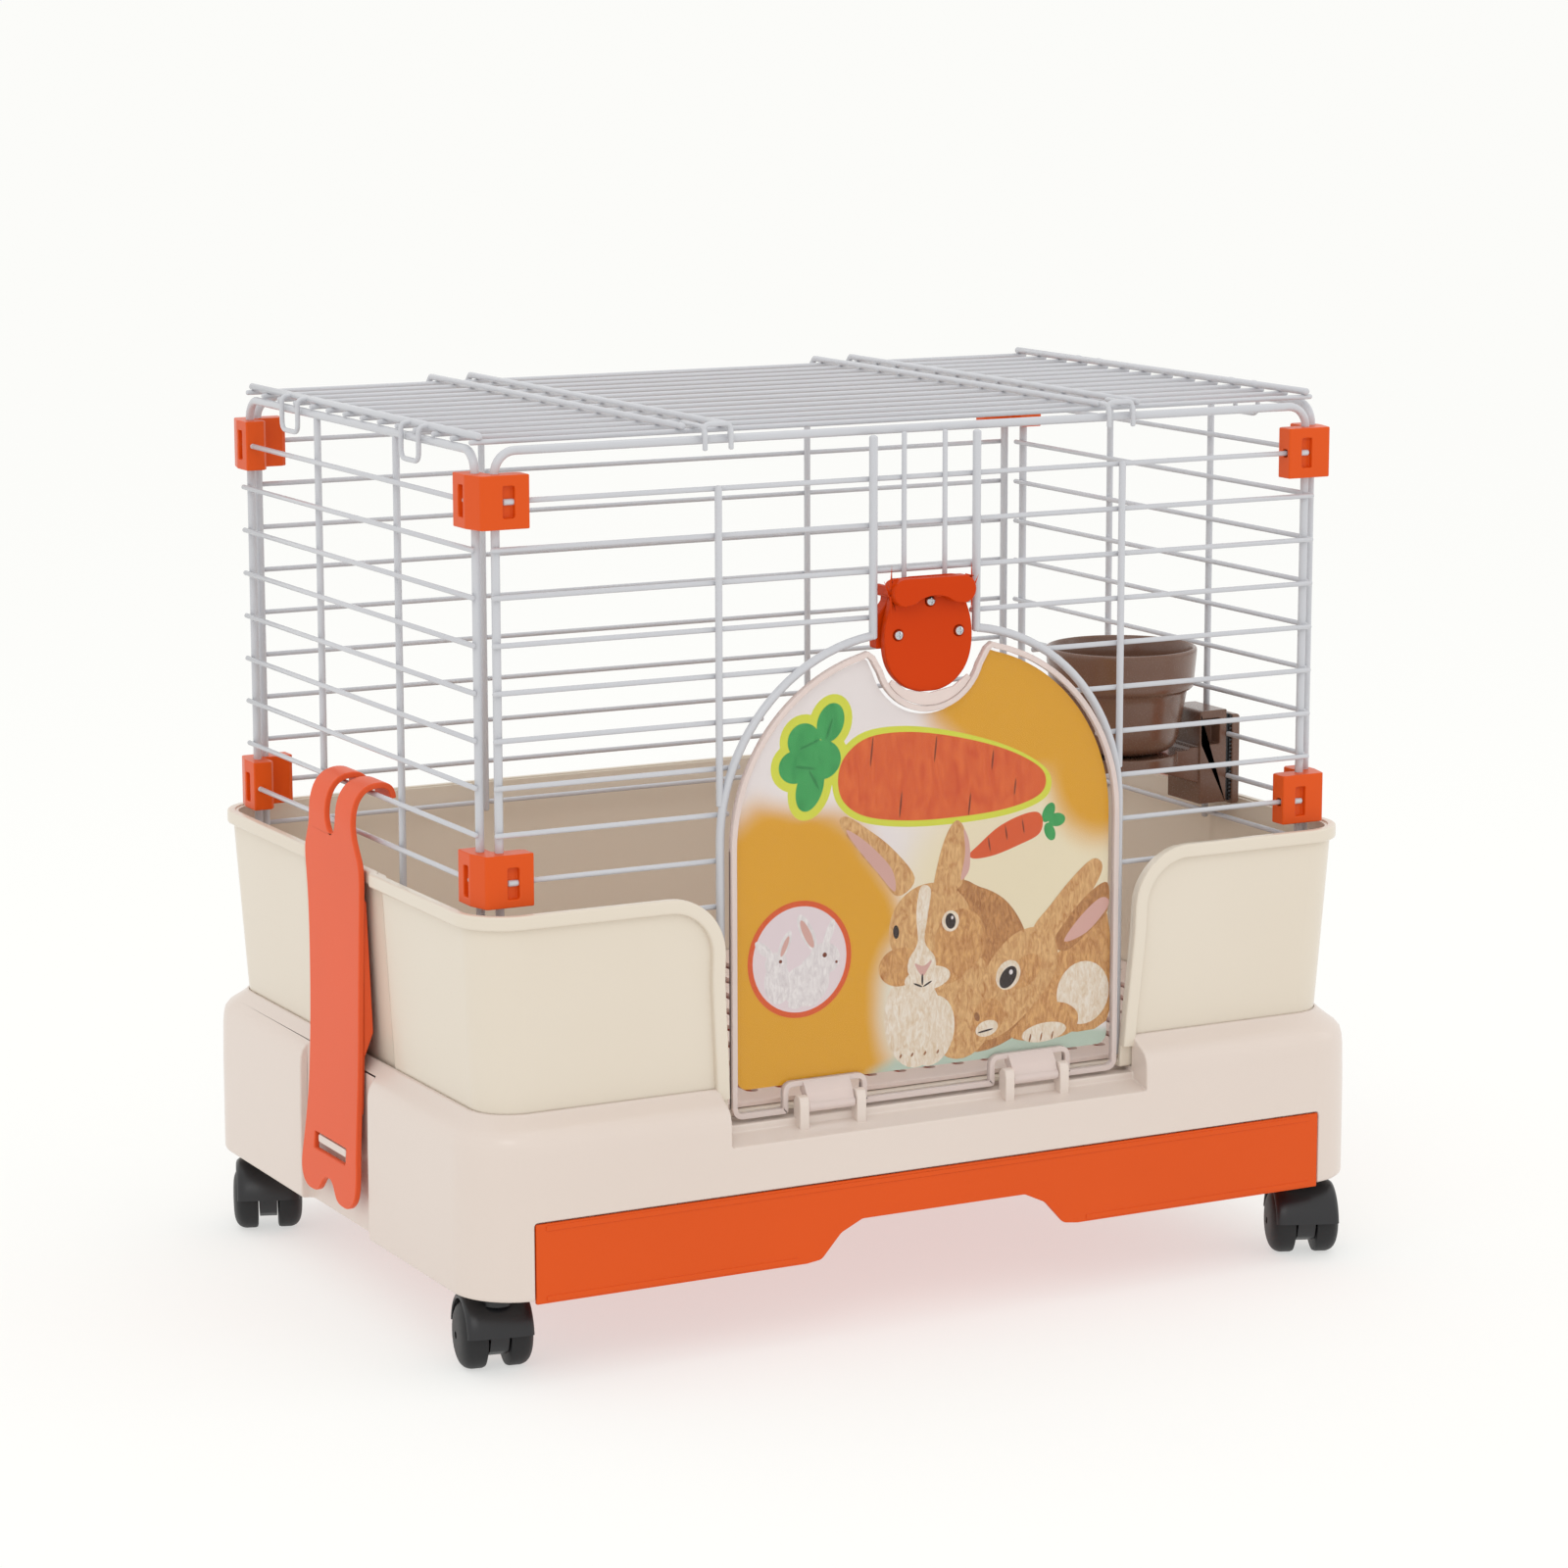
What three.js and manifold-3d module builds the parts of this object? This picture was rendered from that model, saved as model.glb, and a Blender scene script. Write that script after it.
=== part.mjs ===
import * as THREE from 'three';
import { mergeVertices } from 'three/addons/utils/BufferGeometryUtils.js';
import Module from 'manifold-3d';

// Wire rabbit cage on a castored plastic base. Millimetres, +Z up, front faces -Y.

const wasm = await Module();
wasm.setup();

// Base frame
const BASE_HX = 310;
const BASE_HY = 219.3;
const BASE_Z0 = 50.5;
const SHOULDER_Z = 149;
const SEAM_Z = 158.7;
const BASE_R = 38;
const NOTCH_HALF = 53;
const NOTCH_X = 303;
const DECK_Z = 138;
const SILL_HALF = 144.8;

// Tub
const TUB_Z0 = 138.3;
const TUB_RIM_Z = 277.8;
const RIM_BAND = 8.5;
const CUT_HALF = 142.6;
const CUT_R = 37;
const CUT_CX = 179.6;

// Drawer
const DRAWER_HALF = 273.4;
const DRAWER_TOP = 96.7;
const DRAWER_Z0 = 48.6;
const TRAY_Z0 = 75;

// Wire cage
const LEFT_X = -286.2;
const RIGHT_X = 288;
const FRAME_Y = 184;
const POST_FRONT_X = 277.9;
const POST_SIDE_Y = 175.4;
const TOP_Z = 543.6;
const POST_Z0 = 262;
const FIRST_Z = 515.1;
const PITCH = 27.65;
const ROWS = 10;
const FRAME_R = 2.6;
const THIN = 1.45;
const MID = 2.0;
const SINK = 0.3;
const HORIZ_Y = FRAME_Y + 2.25 + THIN - SINK;
const STEP_X = 2.25 + THIN - SINK;

// Corner clips
const CLIP_X = 294.2;
const CLIP_Y = 193.4;

// Door opening and door
const ARCH_X = 138.6;
const ARCH_R = 117;
const ARCH_Z = 305.5;
const ARCH_Y = HORIZ_Y + THIN + 2.25 - SINK;
const DOOR_HALF = 134.6;
const DOOR_R = 115;
const DOOR_ZC = 300.5;
const DOOR_Z0 = 137;
const HINGE_Y = -204.5;
const HINGE_Z = 141.5;
const LUGS = [52, 91];

// Castors
const STEM_X = 283;
const STEM_Y = 184;
const WHEEL_R = 20.5;
const TRAIL = 13;

const group = new THREE.Group();
group.name = 'rabbit_cage';

const PAINT = {
  cream: [0xe6dccf, 0.38, 0],
  shell: [0xe4dacf, 0.34, 0],
  orange: [0xd6521c, 0.4, 0],
  strap: [0xe86c44, 0.45, 0],
  wire: [0xdcdee4, 0.35, 0.1],
  clear: [0xe8e4e4, 0.1, 0],
  label: [0xd9a832, 0.5, 0],
  steel: [0xb8bcc2, 0.25, 1],
  brown: [0x6b4a38, 0.45, 0],
  black: [0x17181b, 0.45, 0],
};

function toSolid(geometry) {
  const bare = new THREE.BufferGeometry();
  const source = geometry.index ? geometry.toNonIndexed() : geometry;
  bare.setAttribute('position', source.getAttribute('position').clone());
  const merged = mergeVertices(bare, 1e-4);
  const mesh = new wasm.Mesh({
    numProp: 3,
    vertProperties: new Float32Array(merged.getAttribute('position').array),
    triVerts: new Uint32Array(merged.index.array),
  });
  mesh.merge();
  return new wasm.Manifold(mesh);
}

function add(name, solid, paint) {
  const mesh = solid.getMesh();
  const geometry = new THREE.BufferGeometry();
  geometry.setAttribute('position', new THREE.BufferAttribute(new Float32Array(mesh.vertProperties), 3));
  geometry.setIndex(new THREE.BufferAttribute(new Uint32Array(mesh.triVerts), 1));
  const flat = geometry.toNonIndexed();
  flat.computeVertexNormals();
  const [color, roughness, metalness] = PAINT[paint];
  const material = new THREE.MeshStandardMaterial({ color, roughness, metalness });
  material.name = paint;
  const part = new THREE.Mesh(flat, material);
  part.name = name;
  group.add(part);
}

function join(...solids) {
  return solids.flat().reduce((a, b) => a.add(b));
}

function cut(solid, ...tools) {
  return tools.flat().reduce((a, b) => a.subtract(b), solid);
}

function box(x0, x1, y0, y1, z0, z1) {
  const geometry = new THREE.BoxGeometry(x1 - x0, y1 - y0, z1 - z0);
  geometry.translate((x0 + x1) / 2, (y0 + y1) / 2, (z0 + z1) / 2);
  return toSolid(geometry);
}

// A cylinder between two points on one axis: 'x', 'y' or 'z'.
function rod(axis, r, from, to, u, v, sides = 12, turn = 0) {
  const geometry = new THREE.CylinderGeometry(r, r, to - from, sides);
  geometry.rotateY(turn);
  const middle = (from + to) / 2;
  if (axis === 'x') {
    geometry.rotateZ(-Math.PI / 2);
    geometry.translate(middle, u, v);
  } else if (axis === 'y') {
    geometry.translate(u, middle, v);
  } else {
    geometry.rotateX(Math.PI / 2);
    geometry.translate(u, v, middle);
  }
  return toSolid(geometry);
}

// A flat outline pushed through a depth. plane 'xz' runs along Y, 'yz' along X, 'xy' along Z.
function slab(points, plane, from, to) {
  const shape = new THREE.Shape(points.map(([u, v]) => new THREE.Vector2(u, v)));
  const geometry = new THREE.ExtrudeGeometry(shape, { depth: to - from, bevelEnabled: false });
  if (plane === 'xz') {
    geometry.rotateX(Math.PI / 2);
    geometry.translate(0, to, 0);
  } else if (plane === 'yz') {
    geometry.rotateX(Math.PI / 2);
    geometry.rotateZ(Math.PI / 2);
    geometry.translate(from, 0, 0);
  } else {
    geometry.translate(0, 0, from);
  }
  return toSolid(geometry);
}

// Joins rings of the same point count into one closed solid.
function loft(rings) {
  const count = rings[0].length;
  const positions = rings.flat().flatMap((p) => [p[0], p[1], p[2]]);
  const index = [];
  for (let k = 0; k + 1 < rings.length; k += 1) {
    for (let i = 0; i < count; i += 1) {
      const a = k * count + i;
      const b = k * count + ((i + 1) % count);
      index.push(a, b, b + count, a, b + count, a + count);
    }
  }
  const flat = rings[0].map((p) => new THREE.Vector2(p[0], p[1]));
  const last = (rings.length - 1) * count;
  for (const [a, b, c] of THREE.ShapeUtils.triangulateShape(flat, [])) {
    index.push(a, c, b, last + a, last + b, last + c);
  }
  const geometry = new THREE.BufferGeometry();
  geometry.setAttribute('position', new THREE.Float32BufferAttribute(positions, 3));
  geometry.setIndex(index);
  return toSolid(geometry);
}

// A bar of constant section along a path that lies in one plane, mitred at each bend.
function sweep(path, section, normal, closed = false) {
  const points = path.map((p) => new THREE.Vector3(...p));
  const n = new THREE.Vector3(...normal);
  const count = points.length;
  const rings = points.map((p, i) => {
    const before = closed || i > 0 ? points[(i - 1 + count) % count] : null;
    const after = closed || i < count - 1 ? points[(i + 1) % count] : null;
    const t0 = before ? p.clone().sub(before).normalize() : null;
    const t1 = after ? after.clone().sub(p).normalize() : null;
    const t = (t0 ?? t1).clone().add(t1 ?? t0).normalize();
    const side = new THREE.Vector3().crossVectors(n, t);
    const stretch = 1 / Math.max(0.35, t.dot(t0 ?? t1));
    return section.map(([a, b]) => p.clone().addScaledVector(side, a * stretch).addScaledVector(n, b));
  });
  const sides = section.length;
  const positions = rings.flat().flatMap((p) => [p.x, p.y, p.z]);
  const index = [];
  const spans = closed ? count : count - 1;
  for (let k = 0; k < spans; k += 1) {
    for (let i = 0; i < sides; i += 1) {
      const a = k * sides + i;
      const b = k * sides + ((i + 1) % sides);
      const c = ((k + 1) % count) * sides + ((i + 1) % sides);
      const d = ((k + 1) % count) * sides + i;
      index.push(a, b, c, a, c, d);
    }
  }
  if (!closed) {
    const last = (count - 1) * sides;
    for (let i = 1; i + 1 < sides; i += 1) {
      index.push(0, i + 1, i, last, last + i, last + i + 1);
    }
  }
  const geometry = new THREE.BufferGeometry();
  geometry.setAttribute('position', new THREE.Float32BufferAttribute(positions, 3));
  geometry.setIndex(index);
  const solid = toSolid(geometry);
  return solid.volume() < 0 ? toSolid(geometry.setIndex(index.reverse())) : solid;
}

function ringSection(r, sides) {
  return Array.from({ length: sides }, (_, i) => {
    const a = ((i + 0.5) * 2 * Math.PI) / sides;
    return [r * Math.cos(a), r * Math.sin(a)];
  });
}

const HEX = ringSection(FRAME_R, 6);
const SQUARE = [[-MID, -MID], [MID, -MID], [MID, MID], [-MID, MID]];

function arc(cx, cy, r, from, to, steps) {
  return Array.from({ length: steps + 1 }, (_, i) => {
    const a = THREE.MathUtils.degToRad(from + ((to - from) * i) / steps);
    return [cx + r * Math.cos(a), cy + r * Math.sin(a)];
  });
}

// Rounded rectangle, anticlockwise from +X, with an optional shallow recess in both X sides.
function plan(hx, hy, r, z, recess = 0, half = 60, steps = 4) {
  const lane = (s) => [
    [s * hx, -s * (half + recess)],
    [s * (hx - recess), -s * half],
    [s * (hx - recess), s * half],
    [s * hx, s * (half + recess)],
  ];
  const right = recess ? lane(1) : [];
  const left = recess ? lane(-1) : [];
  return [
    ...right,
    ...arc(hx - r, hy - r, r, 0, 90, steps),
    ...arc(-hx + r, hy - r, r, 90, 180, steps),
    ...left,
    ...arc(-hx + r, -hy + r, r, 180, 270, steps),
    ...arc(hx - r, -hy + r, r, 270, 360, steps),
  ].map(([x, y]) => [x, y, z]);
}

function mirrorX(points) {
  return [...points, ...points.map(([x, z]) => [-x, z]).reverse()];
}

// ---- Base frame ----
function buildBase() {
  let base = loft([
    plan(BASE_HX, BASE_HY, BASE_R, BASE_Z0),
    plan(BASE_HX - 0.6, BASE_HY - 0.6, BASE_R, SHOULDER_Z - 6),
    plan(BASE_HX - 2.5, BASE_HY - 2.5, BASE_R - 2, SHOULDER_Z),
    plan(BASE_HX - 6.5, BASE_HY - 7, BASE_R - 5, SHOULDER_Z + 4),
    plan(BASE_HX - 14, BASE_HY - 18, BASE_R - 10, SEAM_Z),
  ]);
  base = cut(
    base,
    loft([plan(270, 178, 12, 90), plan(270, 178, 12, DECK_Z + 1)]),
    loft([plan(294.6, 199.8, 26, DECK_Z), plan(294.6, 199.8, 26, SEAM_Z + 5)]),
    box(-271.6, 271.6, -BASE_HY - 5, 196, 74.7, 95.6),
    box(-262, 262, -BASE_HY - 5, 196, 40, 80),
    box(-DRAWER_HALF - 0.7, DRAWER_HALF + 0.7, -BASE_HY - 5, -215.8, 40, DRAWER_TOP + 0.8),
    box(-262, 262, 199.6, 216, 40, 134),
    slab([
      [-230, 123.4], [-202.4, 131], [-202.4, 135.4], [-190, 135.4], [-190, 180], [-230, 180],
    ], 'yz', -SILL_HALF, SILL_HALF),
  );
  for (const s of [-1, 1]) {
    const x = (v) => [Math.min(s * v[0], s * v[1]), Math.max(s * v[0], s * v[1])];
    base = cut(base, box(...x([NOTCH_X, 330]), -NOTCH_HALF, NOTCH_HALF, 40, 175));
    for (const t of [-1, 1]) {
      base = cut(base, rod('z', 4.7, 40, 76, s * STEM_X, t * STEM_Y, 12));
    }
    base = join(base, box(...x([NOTCH_X - 3, 311.2]), -22, 22, 95, 100));
    for (const u of LUGS) {
      const lug = slab([
        [-208.7, 122], [-200.9, 122], [-200.9, 146], [-202.6, 148.6], [-206.2, 149], [-208.7, 146.4],
      ], 'yz', s * u - 3.25, s * u + 3.25);
      base = join(base, cut(lug, rod('x', 2.3, s * u - 6, s * u + 6, HINGE_Y, HINGE_Z, 12)));
    }
  }
  add('base_frame', base, 'shell');
}

// ---- Splash tub ----
function cutOutline(grow) {
  const r = CUT_R - grow;
  const side = arc(CUT_CX, TUB_RIM_Z - CUT_R, r, 180, 90, 8);
  return mirrorX([[CUT_HALF + grow, 130], ...side, [CUT_CX, TUB_RIM_Z + 30]]);
}

function buildTub() {
  const low = loft([
    plan(293, 198.4, 25, TUB_Z0, 2),
    plan(300.4, 205.2, 27, TUB_RIM_Z - RIM_BAND - 4, 2),
  ]);
  const high = loft([
    plan(300.2, 205, 27, TUB_RIM_Z - RIM_BAND - 8),
    plan(300.8, 205.4, 27, TUB_RIM_Z),
  ]);
  const band = loft([
    plan(304.6, 208.6, 32, TUB_RIM_Z - RIM_BAND, 3, 50),
    plan(305, 209, 32, TUB_RIM_Z - 1.5, 3, 50),
    plan(303.8, 208, 31, TUB_RIM_Z, 3, 50),
  ]);
  const shape = cutOutline(7.6).map(([x, z]) => [x, Math.min(z, TUB_RIM_Z)]);
  const collar = cut(
    slab(shape, 'xz', -209, -198.6),
    box(-160, 160, -240, -190, 120, TUB_Z0),
    box(-160, -SILL_HALF + 0.5, -240, -199.4, 120, SEAM_Z + 0.2),
    box(SILL_HALF - 0.5, 160, -240, -199.4, 120, SEAM_Z + 0.2),
  );
  const inner = loft([
    plan(290.3, 195.7, 23, TUB_Z0 + 3, 2),
    plan(297.8, 202.5, 25, TUB_RIM_Z + 1, 2),
  ]);
  let tub = cut(
    join(low, high, band, collar),
    inner,
    loft([plan(279, 184, 16, TUB_Z0 - 5), plan(279, 184, 16, TUB_Z0 + 8)]),
    slab(cutOutline(0), 'xz', -240, -170),
    box(-SILL_HALF + 0.3, SILL_HALF - 0.3, -240, -193.5, 120, TUB_Z0 + 8),
  );
  tub = join(tub, box(-160, 160, -193.4, -184.2, TUB_Z0, TUB_Z0 + 3));
  add('splash_tub', tub, 'cream');
}

// ---- Litter drawer ----
function buildDrawer() {
  const face = slab([
    [-DRAWER_HALF, DRAWER_Z0], [-95, DRAWER_Z0], [-86, 50.6], [-78, 57], [-71, 64.4], [-65.5, 68.8],
    [-58, 71.5], [58, 71.5], [65.5, 68.8], [71, 64.4], [78, 57], [86, 50.6], [95, DRAWER_Z0],
    [DRAWER_HALF, DRAWER_Z0], [DRAWER_HALF, DRAWER_TOP], [-DRAWER_HALF, DRAWER_TOP],
  ], 'xz', -BASE_HY, -216.2);
  const tray = cut(
    box(-270, 270, -216.6, 190, TRAY_Z0, 94),
    box(-267, 267, -213.6, 187, TRAY_Z0 + 2.6, 110),
  );
  const lip = [[-261, -99], [99, 261]].map(([a, b]) =>
    box(a, b, -216.5, -214.6, DRAWER_Z0, 53));
  add('litter_drawer', join(face, tray, lip), 'orange');
}

// ---- Floor grid ----
function buildGrid() {
  const half = (194.6 + 187.4) / 2;
  const sheet = [141.6, 144.6].map((z) => plan(289.4, half, 22, z, 2.4, 68));
  const grid = loft(sheet).translate([0, 194.6 - half, 0]);
  const columns = 24;
  const bars = [];
  for (let i = 0; i < columns; i += 1) {
    const x = (i - (columns - 1) / 2) * 23;
    for (let k = 0; k < 3; k += 1) {
      const y = (k - 1) * 122;
      bars.push(box(x - 4, x + 4, y - 53, y + 53, 140, 146));
    }
  }
  add('floor_grid', cut(grid, bars), 'cream');
}

// ---- Wire panels ----
function hoop(half, z0, plane, at) {
  const bend = 12;
  const right = [[half, z0], ...arc(half - bend, TOP_Z - bend, bend, 0, 90, 3)];
  const flat = mirrorX(right);
  const path = flat.map(([u, z]) => (plane === 'y' ? [u, at, z] : [at, u, z]));
  return sweep(path, HEX, plane === 'y' ? [0, 1, 0] : [1, 0, 0]);
}

function barX(x0, x1, y, z, h = THIN) {
  return box(x0, x1, y - h, y + h, z - h, z + h);
}

function barY(x, y0, y1, z, h = THIN) {
  return box(x - h, x + h, y0, y1, z - h, z + h);
}

function barZ(x, y, z0, z1, h = THIN) {
  return box(x - h, x + h, y - h, y + h, z0, z1);
}

function rowZ(k) {
  return FIRST_Z - PITCH * k;
}

function archHalf(z) {
  if (z <= ARCH_Z) {
    return ARCH_X;
  }
  return ARCH_X - ARCH_R + Math.sqrt(ARCH_R ** 2 - (z - ARCH_Z) ** 2);
}

function buildFrontPanel() {
  const parts = [hoop(POST_FRONT_X, POST_Z0, 'y', -FRAME_Y)];
  for (let k = 0; k < ROWS; k += 1) {
    const z = rowZ(k);
    if (k < 3) {
      parts.push(barX(-281.5, 281.5, -HORIZ_Y, z));
    } else {
      const stop = k === 3 ? 34.5 : archHalf(z) - (k < 7 ? 3.5 : 1);
      parts.push(barX(-281.5, -stop, -HORIZ_Y, z));
      parts.push(barX(stop, 281.5, -HORIZ_Y, z));
    }
  }
  for (const s of [-1, 1]) {
    const top = ARCH_Z + Math.sqrt(ARCH_R ** 2 - (36 - ARCH_X + ARCH_R) ** 2);
    const from = THREE.MathUtils.radToDeg(Math.asin((top - ARCH_Z) / ARCH_R));
    const bend = arc(ARCH_X - ARCH_R, ARCH_Z, ARCH_R, from, 0, 12);
    const path = [...bend, [ARCH_X, 146.2]].map(([x, z]) => [s * x, -ARCH_Y, z]);
    parts.push(sweep(path, HEX, [0, 1, 0]));
    const stem = [[s * 35.5, -ARCH_Y, 540.5], [s * 35.5, -ARCH_Y, top - 1.5]];
    parts.push(sweep(stem, HEX, [0, 1, 0]));
    parts.push(barZ(s * ARCH_X, -(HORIZ_Y + THIN + MID - SINK), 330, FIRST_Z + 1.2, MID));
    parts.push(barZ(s * 14, -(HORIZ_Y + 2 * THIN - SINK), 437, 540.8));
  }
  add('front_wire_panel', join(parts), 'wire');
}

function buildRearPanel() {
  const parts = [hoop(POST_FRONT_X, POST_Z0, 'y', FRAME_Y)];
  for (let k = 0; k < ROWS; k += 1) {
    parts.push(barX(-281.5, 281.5, HORIZ_Y, rowZ(k)));
  }
  for (const x of [-121.5, 121.5]) {
    parts.push(barZ(x, HORIZ_Y - THIN - MID + SINK, POST_Z0, TOP_Z, MID));
  }
  add('rear_wire_panel', join(parts), 'wire');
}

// Both side panels are the same piece, so the cross wires lie on the -X face of each.
function buildSidePanel(name, at) {
  const parts = [hoop(POST_SIDE_Y, POST_Z0, 'x', at)];
  for (let k = 0; k < ROWS; k += 1) {
    parts.push(barY(at - STEP_X, -179, 179, rowZ(k)));
  }
  for (const y of [-61.4, 61.4]) {
    parts.push(barZ(at - STEP_X + THIN + MID - SINK, y, POST_Z0, TOP_Z, MID));
  }
  add(name, join(parts), 'wire');
}

function buildRoof() {
  const lowZ = TOP_Z + FRAME_R + 0.3 + THIN;
  const highZ = lowZ + THIN + MID - SINK;
  const parts = [];
  const count = 14;
  const step = 348 / (count - 1);
  for (let i = 0; i < count; i += 1) {
    parts.push(barX(-288, 288, -174 + step * i, lowZ));
  }
  for (const x of [-283.6, -156, -128, 128, 156, 283.6]) {
    parts.push(barY(x, x ** 2 > 8e4 ? -176 : -180, 176.5, highZ, MID));
  }
  for (const x of [-156, -128, 128, 156]) {
    const hook = [
      [FRAME_Y - 9, highZ], [FRAME_Y + 3, highZ], [FRAME_Y + 6.6, TOP_Z + 1.5],
      [FRAME_Y + 4, TOP_Z - 4.6], [FRAME_Y - 1.5, TOP_Z - 5.4],
    ];
    parts.push(sweep(hook.map(([y, z]) => [x, y, z]), ringSection(1.7, 4), [1, 0, 0]));
  }
  const h = 1.5;
  for (const s of [-1, 1]) {
    const out = s < 0 ? LEFT_X - 5 : RIGHT_X + 5.6;
    for (const y of [-94, 94]) {
      for (const t of [-13, 13]) {
        const reach = [s * 284, out].sort((a, b) => a - b);
        parts.push(box(reach[0] - h, reach[1] + h, y + t - h, y + t + h, highZ - 1.8, highZ + 1.2));
        parts.push(barZ(out, y + t, 531, highZ + 1.2, h));
      }
      parts.push(barY(out, y - 13 - h, y + 13 + h, 531, h));
    }
    for (const t of [-8.5, 8.5]) {
      const x = s * 138 + t;
      parts.push(box(x - h, x + h, -190.2 - h, -172, highZ - 1.8, highZ + 1.2));
      parts.push(barZ(x, -190.2, 538.5, highZ + 1.2, h));
    }
    parts.push(barX(s * 138 - 8.5 - h, s * 138 + 8.5 + h, -174.2, highZ - 0.3, h));
  }
  add('roof_wire_panel', join(parts), 'wire');
}

// ---- Corner clips ----
function buildClip(name, sx, sy, z0, row) {
  const zm = rowZ(row);
  const sideX = sx < 0 ? -LEFT_X : RIGHT_X;
  const rowX = sx < 0 ? sideX + STEP_X : sideX - STEP_X;
  const outline = [
    [CLIP_X, 178.5], [290.4, 192.4], [289.4, CLIP_Y], [260, CLIP_Y], [260, 181.2], [264, 179.2], [280, 179.2],
    [280, CLIP_Y - 29], [282.4, CLIP_Y - 32], [CLIP_X, CLIP_Y - 32],
  ];
  let clip = slab(outline, 'xy', z0, z0 + 31.2);
  const post = ringSection(3.5, 6);
  clip = cut(
    clip,
    slab(post.map(([u, v]) => [POST_FRONT_X + u, FRAME_Y + v]), 'xy', z0 - 2, z0 + 34),
    slab(post.map(([u, v]) => [sideX + v, POST_SIDE_Y + u]), 'xy', z0 - 2, z0 + 34),
    box(258, 283, HORIZ_Y - 2, HORIZ_Y + 2, zm - 2, zm + 2),
    box(rowX - 2, rowX + 2, 158, 181, zm - 2, zm + 2),
    box(269.3, 276.8, HORIZ_Y - 2, 196, zm - 9.3, zm + 9.3),
    box(Math.min(rowX, 288), 297, 169.4, 175.9, zm - 9.3, zm + 9.3),
  );
  clip = sx < 0 ? clip.mirror([1, 0, 0]) : clip;
  clip = sy < 0 ? clip.mirror([0, 1, 0]) : clip;
  add(name, clip, 'orange');
}

// ---- Door ----
function doorOutline(inset, z0, hinges) {
  const i = inset;
  const half = DOOR_HALF - i;
  const r = DOOR_R - i;
  const cx = DOOR_HALF - DOOR_R;
  const notch = 34.5 + i;
  const stop = 45 + 0.2 * i;
  const end = THREE.MathUtils.radToDeg(Math.acos((stop - cx) / r));
  const points = [];
  if (hinges) {
    points.push([46.5, z0], [46.5, 153], [97, 153], [97, z0]);
  }
  points.push(...arc(half - 6, z0 + 6, 6, -90, 0, 3));
  points.push(...arc(cx, DOOR_ZC, r, 0, end, 12));
  points.push([41 + 0.2 * i, 413.9 - i], [37.6 + 0.6 * i, 412.1 - 0.8 * i]);
  points.push([35.6 + 0.9 * i, 408.6 - 0.4 * i]);
  points.push(...arc(0, 412, notch, -14, -84, 6));
  return mirrorX(points);
}

function buildDoor() {
  const outline = doorOutline(0, DOOR_Z0, true);
  const plate = slab(outline, 'xz', -197.7, -194.7);
  const section = [[0, -2.4], [3.6, -2.4], [3.6, 2.4], [0, 2.4]];
  const rim = sweep(outline.map(([x, z]) => [x, -197, z]), section, [0, -1, 0], true);
  const parts = [plate, rim];
  for (const s of [-1, 1]) {
    const [a, b] = [s * 55.7, s * 87.3].sort((p, q) => p - q);
    parts.push(rod('x', 3.4, a, b, HINGE_Y, HINGE_Z, 12));
    parts.push(slab([
      [-207, 142], [-202, 142], [-198.4, 147.2], [-195.1, 150], [-195.1, 156], [-199.2, 156], [-203.4, 149.6],
    ], 'yz', a, b));
    parts.push(rod('x', 1.9, s * 71.5 - 22.5, s * 71.5 + 22.5, HINGE_Y, HINGE_Z, 12));
  }
  add('front_door', join(parts), 'clear');
  add('door_label', slab(doorOutline(4.9, 154, false), 'xz', -194.35, -193.75), 'label');
}

// ---- Door latch ----
function buildLatch() {
  const half = [
    [24, 451], [24.3, 440], [28.6, 430], [30.2, 420], [29.2, 409], [25.6, 399.5], [19, 391.8], [10, 387.2],
    [2, 386],
  ];
  const wires = [-14, 14].map((x) => box(x - 1.9, x + 1.9, -192.2, -187.8, 435, 470));
  const holes = [[1, 440.8], [-20.9, 421.5], [20.9, 421.5]];
  const pilot = holes.map(([x, z]) => rod('y', 1.7, -200, -184, x, z, 8));
  const front = cut(slab(mirrorX(half), 'xz', -196.5, -190.4), wires, pilot);
  const shape = [[24, 451], [24.2, 438.5], [32.2, 431], [32.2, 413]];
  const back = cut(slab(mirrorX(shape), 'xz', -190.1, -181), wires, pilot);
  add('latch_front_shell', front, 'orange');
  add('latch_back_shell', back, 'orange');
  const cap = [
    [28.2, 444], [28.2, 451.8], [24.6, 455.8], [0.1, 456.2],
  ];
  const wave = [[0.1, 445], [9, 443.6], [14.5, 440.2], [20.5, 439], [25.6, 440.6]];
  const ring = mirrorX([...wave, ...cap]);
  const slider = cut(
    slab(ring, 'xz', -205, -180.4),
    box(-24.8, 24.8, -199.4, -176, 430, 452.6),
    box(-30, 30, -192.5, -176, 452, 460),
    box(-24.8, 24.8, -192.6, -176, 430, 460),
  );
  const cheeks = [[-28.2, -25], [25, 28.2]].map(([a, b]) => box(a, b, -205, -180.4, 444, 452));
  add('latch_press_cap', join(slider, cheeks), 'orange');
  holes.forEach(([x, z], i) => {
    const head = rod('y', 3, -198.6, -196.8, x, z, 12);
    const shank = rod('y', 1.3, -197, -185, x, z, 8);
    const cross = [[1.9, 0.45], [0.45, 1.9]].map(([a, b]) => box(x - a, x + a, -200, -197.8, z - b, z + b));
    add(`latch_screw_${i + 1}`, cut(join(head, shank), cross), 'steel');
  });
}

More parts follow.
